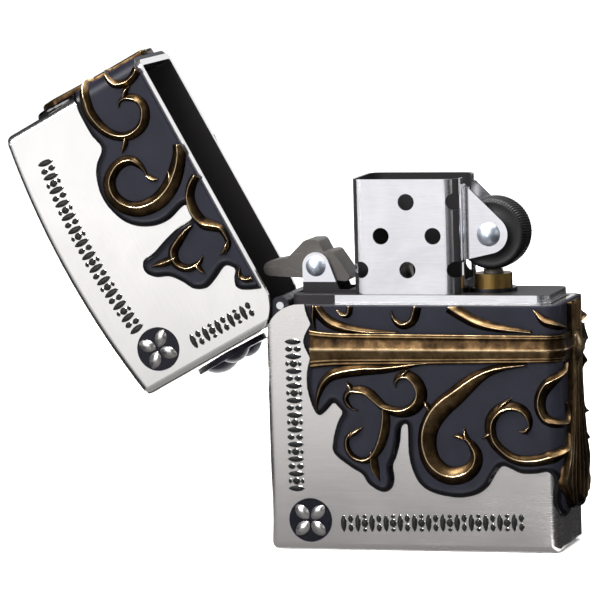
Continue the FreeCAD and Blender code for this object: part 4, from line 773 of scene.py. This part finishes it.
collar_skin = np.stack([number, np.roll(number, -1, 0), np.roll(np.roll(number, -1, 0), -1, 1),
                        np.roll(number, -1, 1)], -1).reshape(-1, 4)
collar_points = around(collar.reshape(-1, 3))
collar_shine = 0.25 + 0.6 * np.clip(twist, 0, 1) ** 2
boss_surface = joined([closed_ring(dome, dome_shine, around),
                       (collar_points, outward(collar_points, [collar_skin]), collar_shine.ravel())])
build("boss", boss_surface, antique_brass, "case", "antique_brass", "side_boss")


# ------------------------------------------------------------------ ornament on the lid
# The same cast work carries on over the lid: a black field with three scrolls, and the upper
# end of the strap on its free side.
def on_lid(spot):
    """Wraps (run, height, proud) on to the closed lid, then swings it open with the lid."""
    return swung(around(spot))


LID_EDGE = [
    [(-14.4, 32.75), (-13.85, 34.1), (-13.2, 35.2), (-12.45, 35.6), (-11.35, 35.2), (-10.5, 34.45)],
    [(-10.5, 34.45), (-9.65, 35.2), (-9.6, 35.9), (-10.35, 37.55), (-10.8, 39.2), (-10.1, 40.75),
     (-8.55, 41.7), (-7.15, 42.85), (-6.35, 44.5), (-5.35, 45.4), (-4.4, 45.5), (-3.5, 44.8),
     (-3.3, 43.1), (-2.6, 40.9),
     (-2.1, 38.7), (-2.0, 36.5)],
    [(-2.0, 36.5), (-1.6, 36.15), (-0.6, 36.05), (0.0, 36.1)],
    [(0.0, 36.1), (-0.1, 37.0), (-0.65, 39.2), (-0.35, 41.45), (0.9, 43.65), (2.85, 45.05), (5.9, 45.75),
     (8.65, 45.2), (10.35, 44.2), (11.45, 42.85), (12.3, 42.5), (14.2, 42.9), (17.0, 42.9), (18.8, 42.7),
     (20.0, 43.2), (19.9, 45.2), (19.6, 47.0), (20.2, 48.4), (21.8, 49.1), (23.8, 48.6), (FOLD, 48.2)],
]
lid_edge = np.vstack([smooth_line(run, 0.22)[:-1] for run in LID_EDGE] + [[[FOLD, 48.2]]])
LID_MOUTH = 32.75
build("lid_field", relief_plate(lid_edge, LID_MOUTH, on_lid), field_enamel, "lid",
      "black_enamel", "lid_ornament_plate")
LID_SCROLLS = [
    ([(7.2, 32.9), (6.0, 33.5), (4.5, 34.8), (3.1, 36.7), (2.4, 38.65), (2.35, 40.3), (2.85, 42.0),
      (4.2, 43.4), (5.9, 43.9), (7.55, 43.4), (8.65, 42.0), (8.9, 40.6), (8.4, 39.35), (7.0, 38.7),
      (5.6, 38.65)],
     [0.9, 1.0, 1.2, 1.3, 1.3, 1.3, 1.2, 1.0, 0.7, 0.5, 0.1],
     [0.8, 1.0, 1.1, 1.0, 0.9, 0.7, 0.7, 0.7, 0.8, 0.7, 0.1],
     [0.87, 0.87, 0.87, 0.87, 0.87, 0.87, 0.87, 0.85, 0.3]),
    ([(15.3, 37.6), (15.9, 36.9), (15.75, 35.9), (14.9, 34.9), (13.65, 34.7), (12.3, 35.5), (11.6, 36.7),
      (11.6, 38.4), (12.55, 39.9), (14.2, 40.9), (16.7, 41.3), (19.2, 40.6), (21.0, 39.4)],
     [0.05, 0.6, 0.8, 0.9, 0.8, 0.7, 0.8, 0.9, 0.9, 0.7, 0.2],
     [0.05, 0.4, 0.45, 0.5, 0.5, 0.5, 0.6, 0.7, 0.7, 0.6, 0.2],
     [0.3, 0.8, 0.86, 0.86, 0.86, 0.86, 0.86, 0.6]),
    ([(-6.9, 37.3), (-7.45, 38.1), (-7.5, 39.5), (-6.9, 40.5), (-5.8, 41.0), (-4.4, 40.6), (-3.55, 39.2),
      (-3.0, 37.7), (-2.8, 36.6)],
     [0.05, 0.5, 0.6, 0.7, 0.6, 0.45, 0.4, 0.2], [0.05, 0.4, 0.5, 0.6, 0.8, 0.8, 0.6, 0.2],
     [0.3, 0.8, 0.85, 0.85, 0.85, 0.6]),
    ([(-5.4, 40.6), (-5.3, 41.8), (-5.1, 42.9), (-4.8, 44.3)], [0.4, 0.6, 0.5, 0.05], [0.4, 0.6, 0.5, 0.05],
     [0.8, 0.8, 0.7, 0.2]),
    ([(-8.3, 34.6), (-7.45, 33.5), (-6.3, 33.15), (-4.95, 33.3), (-4.1, 34.2), (-3.3, 35.2), (-1.9, 35.65),
      (-0.5, 35.6), (0.9, 35.05), (2.0, 33.95), (2.6, 32.9)],
     [0.05, 0.5, 0.6, 0.8, 0.8, 0.5, 0.4, 0.4, 0.5, 0.5], [0.05, 0.3, 0.3, 0.5, 0.9, 1.0, 1.0, 0.9, 0.8, 0.7],
     [0.3, 0.8, 0.85, 0.85, 0.85, 0.8]),
    ([(18.3, 32.9), (17.8, 34.0), (17.7, 35.2), (18.3, 36.6), (19.8, 37.2), (21.0, 36.6)],
     [0.6, 0.7, 0.6, 0.4, 0.1], [0.5, 0.5, 0.5, 0.4, 0.1], [0.8, 0.85, 0.8, 0.4]),
    ([(-12.6, 32.9), (-12.3, 33.8), (-11.6, 34.2), (-10.7, 33.7)],
     [0.5, 0.5, 0.3, 0.05], [0.4, 0.4, 0.3, 0.05], [0.7, 0.8, 0.7, 0.2]),
]
LID_LEAVES = [((-7.0, 33.4), (-7.7, 34.3), (-8.0, 35.3)), ((16.0, 36.4), (16.7, 35.6), (17.0, 34.7)),
              ((11.5, 38.6), (10.6, 39.4), (9.9, 40.2)), ((5.9, 38.7), (5.0, 38.3), (4.6, 37.5)),
              ((-7.4, 38.6), (-8.3, 38.6), (-9.1, 38.2)), ((3.2, 36.6), (4.0, 36.0), (4.9, 35.9))]


def above_mouth(spot):
    """Wraps on to the closed lid, with every height below the lid's mouth brought up to it."""
    spot = np.array(spot, float)
    spot[..., 1] = np.maximum(spot[..., 1], LID_MOUTH - 0.2)
    return around(spot)


lid_scrolls = [ridged_strip(knots, left, right, rise, SCROLL_CUT, above_mouth)
               for knots, left, right, rise in LID_SCROLLS]
lid_scrolls += [leaf(knots, above_mouth) for knots in LID_LEAVES]
points, faces, shine = with_back(joined(lid_scrolls))
build("lid_scrolls", (swung(points), faces, shine), antique_brass, "lid", "antique_brass", "lid_scrollwork")
strap_surface = ribbed_strap(32.8, 47.5, -0.9, [2.6, 2.6, 2.7, 2.9, 3.2, 3.8, 4.8, 5.6, 4.6], on_lid)
build("lid_strap", strap_surface, antique_brass, "lid", "antique_brass", "lid_side_strap")
# The ornament on the lid's hinge side is all black enamel, its scrolls too: the field's own colour, and
# painted shade over the scrolls' brass.
dress(enamelled("hinge_side_enamel_and_shade", 0.35), "lid_hinge_ornament")


# ------------------------------------------------------------------ engraved friezes
# Shallow friezes of pointed strokes and lozenges, cut into the silver and filled with black;
# the cut's lip is a thin bright edge of lighter silver round each mark, a painted highlight.
ink, tree, out = new_material("engraving_black")
grime = wire(tree, "TexNoise", {"Vector": wire(tree, "TexCoord").outputs["Object"], "Scale": 4000.0})
ink_tone = wire(tree, "MapRange", {0: grime.outputs["Fac"], 3: 0.002, 4: 0.014})
ink_rough = wire(tree, "MapRange", {0: grime.outputs["Fac"], 3: 0.35, 4: 0.6})
shader = wire(tree, "BsdfPrincipled", {"Base Color": ink_tone.outputs[0], "Roughness": ink_rough.outputs[0],
                                       "Specular IOR Level": 0.08})
tree.links.new(shader.outputs[0], out.inputs[0])
# The lip's silver is painted brighter than the case's nickel, as a highlight.
lip_highlight = worked_metal("engraving_lip", (0.95, 0.93, 0.92), (0.85, 0.83, 0.82), (0.12, 0.2),
                          9000.0, 250.0, 0.05)


def strokes(marks, swell, low, high):
    """Pointed strokes as small raised islands. A mark is (run, height, half length, half width,
    lean): its outline is a circle squeezed to that width, whose sides fall to a point as the
    cosine to the power 1.4, and swell adds a margin all round."""
    marks = np.array(marks, float)
    angle = np.linspace(0, 2 * math.pi, 14, endpoint=False)[None]
    along = (marks[:, 2:3] + swell) * np.cos(angle)
    beside = (marks[:, 3:4] + swell) * np.sign(np.sin(angle)) * np.abs(np.sin(angle)) ** 1.4
    lean = np.radians(marks[:, 4:5])
    run = marks[:, :1] + beside * np.cos(lean) + along * np.sin(lean)
    up = marks[:, 1:2] - beside * np.sin(lean) + along * np.cos(lean)
    rings = [np.stack([run, up, np.full_like(run, stand)], -1) for stand in (low, high)]
    count, width = run.shape
    points = np.concatenate(rings, 1)
    base = (np.arange(count) * 2 * width)[:, None]
    k = np.arange(width)[None]
    sides = np.stack([base + k, base + (k + 1) % width, base + width + (k + 1) % width, base + width + k],
                     -1).reshape(-1, 4)
    lids = np.vstack([base + width + k, base + k[:, ::-1]])
    places = around(points.reshape(-1, 3))
    return places, outward(places, [sides, lids]), np.ones(len(places))


def frieze(start, end, tall, pitch, bow=0.0):
    """Marks along a line from start to end: every second one a tall spindle, and between them in
    turn a pair of short ones and a lozenge between two dots; bow lifts the middle as a parabola."""
    start, end = np.array(start, float), np.array(end, float)
    length = np.linalg.norm(end - start)
    forward = (end - start) / length
    side = np.array([-forward[1], forward[0]])
    lean = math.degrees(math.atan2(side[0], side[1]))
    count = int(length / pitch)
    marks = []
    for k in range(count):
        share = (k + 0.5) / count
        middle = start + forward * length * share + side * bow * (1 - (2 * share - 1) ** 2)
        tilt = lean - math.degrees(math.atan(4 * bow * (1 - 2 * share) / length))
        if k % 4 == 1:
            marks += [(*(middle + side * tall * f), tall * 0.22, pitch * 0.34, tilt) for f in (-0.27, 0.27)]
        elif k % 4 == 3:
            marks += [(*middle, tall * 0.24, pitch * 0.46, tilt)]
            marks += [(*(middle + side * tall * f), tall * 0.1, pitch * 0.3, tilt) for f in (-0.4, 0.4)]
        else:
            marks += [(*middle, tall * 0.5, pitch * 0.37, tilt)]
    return marks


def on_both_sides(surface, body):
    """The surface on front and back, and swung open where it belongs to the lid."""
    points, faces, shine = with_back(surface)
    return (swung(points) if body == "lid" else points), faces, shine


case_marks = frieze((-15.65, 27.8), (-15.65, 7.6), 2.1, 0.92) + frieze((-9.9, 3.55), (14.8, 4.0), 2.2, 0.95)
lid_marks = (frieze((-16.0, 44.8), (-16.0, 35.0), 2.0, 0.92)
             + frieze((-11.4, 50.3), (14.4, 50.2), 2.1, 0.95, 1.0))
for body, marks in (("case", case_marks), ("lid", lid_marks)):
    for part, swell, high, material, slot in (("lip", 0.07, 0.014, lip_highlight, "plated_silver"),
                                              ("fill", 0.0, 0.03, ink, "black_enamel")):
        build(body + "_frieze_" + part, on_both_sides(strokes(marks, swell, -0.05, high), body),
              material, body, slot)


# ------------------------------------------------------------------ medallions
# A round black inlay at one corner of case and lid, front and back, with a ring of four
# raised silver petals on it.
def petal_marks(middle, reach, count, lean):
    """Petals set evenly round a middle, each pointing away from it."""
    turns = [lean + 360 / count * k for k in range(count)]
    return [(middle[0] + reach * math.sin(math.radians(t)), middle[1] + reach * math.cos(math.radians(t)),
             1.2, 0.8, t) for t in turns]


petal_silver = worked_metal("petal_silver", (0.62, 0.6, 0.59), (0.5, 0.48, 0.47), (0.25, 0.35),
                            4000.0, 900.0, 0.15)
dress(enamelled("medallion_enamel", 0.6), "case_medallions", "lid_medallions")
for body, middle in (("case", (-13.9, 3.95)), ("lid", (-14.6, 49.1))):
    petals = strokes(petal_marks(middle, 1.5, 4, 45), 0.0, 0.05, 0.16)
    build(body + "_rosette", on_both_sides(petals, body), petal_silver, body, "plated_silver")


# ------------------------------------------------------------------ hinge
# Two black-plated leaves spot-welded inside case and lid, with five knuckles rolled round a
# bright steel pin. The flint tube's washer has the same plating.
dress(worked_metal("black_plating", (0.06, 0.06, 0.065), (0.03, 0.03, 0.034), (0.18, 0.3),
                   4000.0, 900.0, 0.15), "hinge_leaf_case", "hinge_leaf_lid", "tube_washer")
dress(worked_metal("pin_steel", (0.8, 0.8, 0.82), (0.6, 0.6, 0.63), (0.1, 0.18), 3000.0, 3000.0, 0.05),
      "hinge_pin")


# ------------------------------------------------------------------ insert and chimney
# Stainless steel: a deep-drawn fuel can with a top plate, and a perforated wind screen
# folded from one strip, whose ears carry the wheel.
screen_low, screen_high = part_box("chimney")
SCREEN_WALL, SCREEN_RIGHT = 0.35, 6.4


def soot(tree, spot):
    """One inside the wind screen: nearer the middle in Y than its front wall's inner face,
    and in X between its left wall's and its right wall's."""
    split = wire(tree, "SeparateXYZ", {0: spot})
    narrow = reckon(tree, "LESS_THAN", reckon(tree, "ABSOLUTE", split.outputs["Y"]),
                    screen_high.y - SCREEN_WALL * mm)
    past_left = reckon(tree, "GREATER_THAN", split.outputs["X"], screen_low.x + SCREEN_WALL * mm)
    before_right = reckon(tree, "LESS_THAN", split.outputs["X"], SCREEN_RIGHT * mm)
    return reckon(tree, "MULTIPLY", narrow, reckon(tree, "MULTIPLY", past_left, before_right))


def plate_dark_reflection(tree, spot):
    """One on the top plate's upper face and left of the wind screen, where the plate is painted
    near black as a dark reflection."""
    split = wire(tree, "SeparateXYZ", {0: spot})
    above = reckon(tree, "GREATER_THAN", split.outputs["Z"], screen_low.z - 0.02 * mm)
    left = reckon(tree, "LESS_THAN", split.outputs["X"], screen_low.x - 2.2 * mm)
    return reckon(tree, "MAXIMUM", above, left)


def bracket_foot_dark_reflection(tree, spot):
    """One on the cam bracket's foot, below its ears, which is painted near black as a dark reflection."""
    split = wire(tree, "SeparateXYZ", {0: spot})
    return reckon(tree, "LESS_THAN", split.outputs["Z"], screen_low.z + 1.4 * mm)


dress(worked_metal("screen_steel", (0.74, 0.73, 0.76), (0.64, 0.63, 0.67), (0.13, 0.2),
                   7000.0, 500.0, 0.04, soot_and_shade=soot), "chimney")
dress(worked_metal("can_steel", (0.82, 0.82, 0.84), (0.70, 0.70, 0.73), (0.14, 0.24),
                   6000.0, 350.0, 0.10), "cam_spring")
# The top plate and the insert's front are painted near black on the top face and the left part: a painted
# dark reflection.
dress(worked_metal("plate_steel", (0.82, 0.82, 0.84), (0.70, 0.70, 0.73), (0.14, 0.24),
                   6000.0, 350.0, 0.1, soot_and_shade=plate_dark_reflection), "insert_top_plate", "insert_shell")
dress(worked_metal("bracket_steel", (0.8, 0.8, 0.83), (0.72, 0.72, 0.76), (0.2, 0.26),
                   6000.0, 350.0, 0.04, soot_and_shade=bracket_foot_dark_reflection), "cam_bracket")


# ------------------------------------------------------------------ wheel, tube and rivets
# A hardened wheel with slanting file-cut teeth on its rim, on a domed steel rivet, over the
# brass flint tube, which holds the flint, its plunger, its spring and its screw.
wheel_low, wheel_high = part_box("flint_wheel")
wheel_middle = (np.array(wheel_low) + np.array(wheel_high)) / 2
wheel_radius, wheel_half = (wheel_high.z - wheel_low.z) / 2, (wheel_high.y - wheel_low.y) / 2
TEETH, SLANT = 80, 0.7
tooth_depth, hub, chamfer, face_sunk = 0.09 * mm, 1.5 * mm, 0.35 * mm, 0.12 * mm
spin = np.linspace(0, 2 * math.pi, TEETH * 8, endpoint=False)[None]
rim_steps = np.linspace(-1, 1, 13)
side_radii = np.array([hub, hub + 0.3 * mm, 0.55 * wheel_radius, 0.6 * wheel_radius,
                       wheel_radius - 2.2 * chamfer])
side_sunk = np.array([0.0, 0.0, 0.0, face_sunk, face_sunk])
radius = np.concatenate([side_radii, wheel_radius - chamfer * np.clip(4 * np.abs(rim_steps) - 3, 0, 1),
                         side_radii[::-1]])[:, None]
across = np.concatenate([-wheel_half + side_sunk, rim_steps * wheel_half,
                         (wheel_half - side_sunk)[::-1]])[:, None]
on_rim = (radius > wheel_radius - 1.5 * chamfer)
tooth = np.abs(((spin * TEETH / (2 * math.pi) + across / wheel_half * SLANT) % 1) * 2 - 1)
radius = radius - on_rim * tooth * tooth_depth
wheel_grid = np.stack([wheel_middle[0] + radius * np.cos(spin), wheel_middle[1] + across + 0 * spin,
                       wheel_middle[2] + radius * np.sin(spin)], -1)
rows, columns = wheel_grid.shape[:2]
number = np.arange(rows * columns).reshape(rows, columns)
ring_on = np.concatenate([number, number[:1]])
after = np.roll(ring_on, -1, 1)
wheel_skin = np.stack([ring_on[:-1], after[:-1], after[1:], ring_on[1:]], -1).reshape(-1, 4)
wheel_points = wheel_grid.reshape(-1, 3)
wheel_shine = np.broadcast_to(np.where(on_rim, 0.2 + 0.5 * (1 - tooth), 0.1), (rows, columns)).ravel()
wheel_steel = worked_metal("wheel_steel", (0.035, 0.034, 0.035), (0.018, 0.018, 0.019), (0.36, 0.5),
                           3000.0, 3000.0, 0.3)
build("toothed_wheel", (wheel_points, outward(wheel_points, [wheel_skin]), wheel_shine), wheel_steel,
      "wheel", "dark_steel", "flint_wheel")
dress(worked_metal("rivet_steel", (0.62, 0.68, 0.76), (0.50, 0.55, 0.63), (0.3, 0.34),
                   2500.0, 2500.0, 0.01), "wheel_rivet", "cam_rivet")
dress(worked_metal("tube_brass", (0.34, 0.22, 0.07), (0.1, 0.06, 0.02), (0.2, 0.4), 150.0, 2800.0, 0.5),
      "flint_tube", "flint_plunger", "flint_screw")
dress(worked_metal("spring_steel", (0.6, 0.6, 0.62), (0.4, 0.4, 0.42), (0.2, 0.3), 3000.0, 3000.0, 0.1),
      "flint_spring")
dress(worked_metal("flint_grey", (0.2, 0.19, 0.18), (0.12, 0.11, 0.1), (0.5, 0.7), 3000.0, 3000.0, 0.4),
      "flint")


# ------------------------------------------------------------------ cam
# A sintered steel cam lever, warm grey and speckled, between the two ears of its bracket. The
# domed rivet that it turns on has the wheel rivet's finish.
dress(worked_metal("cam_grey", (0.13, 0.12, 0.113), (0.08, 0.075, 0.07), (0.34, 0.5), 3500.0, 3500.0, 0.5),
      "cam_lever")


# ------------------------------------------------------------------ wick, packing and felt
# A braided cotton wick rises through the top plate and turns near black above it; loose cotton
# fills the can, over a pressed felt pad.
cotton, tree, out = new_material("cotton")
spot = wire(tree, "TexCoord").outputs["Object"]
fibre = wire(tree, "TexNoise", {"Vector": spot, "Scale": 2500.0, "Detail": 6.0, "Distortion": 1.5})
shade = wire(tree, "Mix", {0: fibre.outputs["Fac"], 6: (0.62, 0.59, 0.52, 1), 7: (0.88, 0.86, 0.8, 1)},
             data_type="RGBA")
height_up = wire(tree, "SeparateXYZ", {0: spot}).outputs["Z"]
dark_above_plate = wire(tree, "MapRange", {0: height_up, 1: screen_low.z, 2: screen_low.z + 1.5 * mm})
shade = wire(tree, "Mix", {0: dark_above_plate.outputs[0], 6: shade.outputs[2], 7: (0.03, 0.026, 0.022, 1)},
             data_type="RGBA")
fuzz = wire(tree, "Bump", {"Strength": 0.6, "Distance": 0.0001, "Height": fibre.outputs["Fac"]})
shader = wire(tree, "BsdfPrincipled", {"Base Color": shade.outputs[2], "Roughness": 0.9, "Sheen Weight": 0.3,
                                       "Normal": fuzz.outputs[0]})
tree.links.new(shader.outputs[0], out.inputs[0])

wick_low, wick_high = (np.array(corner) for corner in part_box("wick"))
wick_middle, wick_radius = (wick_low + wick_high) / 2, (wick_high[0] - wick_low[0]) / 2
rise = np.linspace(0, 1, 150)[:, None]
turn = np.linspace(0, 2 * math.pi, 48, endpoint=False)[None]
BRAID_PITCH = 3.4
turns_up = (wick_high[2] - wick_low[2]) / (BRAID_PITCH * mm) * 2 * math.pi
braid = np.maximum(np.cos(4 * turn + turns_up * rise), np.cos(4 * turn - turns_up * rise))
taper = np.sqrt(np.clip(np.minimum(rise, 1 - rise) / 0.02, 0, 1))
wick_width = wick_radius * (0.86 + 0.13 * braid) * (0.6 + 0.4 * taper)
wick_grid = np.stack([wick_middle[0] + wick_width * np.cos(turn), wick_middle[1] + wick_width * np.sin(turn),
                      wick_low[2] + (wick_high[2] - wick_low[2]) * rise + 0 * turn], -1)


def unwrapped(points):
    """Places that are already where they belong."""
    return points


build("braided_wick", closed_ring(wick_grid, np.ones(wick_grid.shape[:2]), unwrapped), cotton, "case",
      "cotton", "wick")


def stuffed(name, node, slot, lumps, depth):
    """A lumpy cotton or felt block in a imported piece's place: a rounded box, the sixth-power
    ball of two angles, pushed in by crossed sine waves, lumps of them along its length."""
    low, high = (np.array(corner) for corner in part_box(node))
    middle, half = (low + high) / 2, (high - low) / 2
    v = np.linspace(-math.pi / 2, math.pi / 2, 60)[1:-1, None]
    u = np.linspace(0, 2 * math.pi, 120, endpoint=False)[None]
    ball = np.stack([np.cos(v) * np.cos(u), np.cos(v) * np.sin(u), np.sin(v) + 0 * u], -1)
    box_ball = ball / ((np.abs(ball) ** 6).sum(-1, keepdims=True)) ** (1 / 6)
    wave = (np.sin(lumps * box_ball[..., 0] * 3 + 1) * np.sin(lumps * box_ball[..., 2] * 2)
            * np.cos(lumps * box_ball[..., 1]))
    pushed = box_ball * (1 - depth * (0.5 + 0.5 * wave))[..., None]
    skin = closed_ring(middle + pushed * half, np.ones(pushed.shape[:2]), unwrapped)
    build(name, skin, cotton, "case", slot, node)


stuffed("cotton_fill", "cotton_packing", "cotton", 5, 0.06)
stuffed("felt_block", "felt_pad", "felt", 3, 0.03)
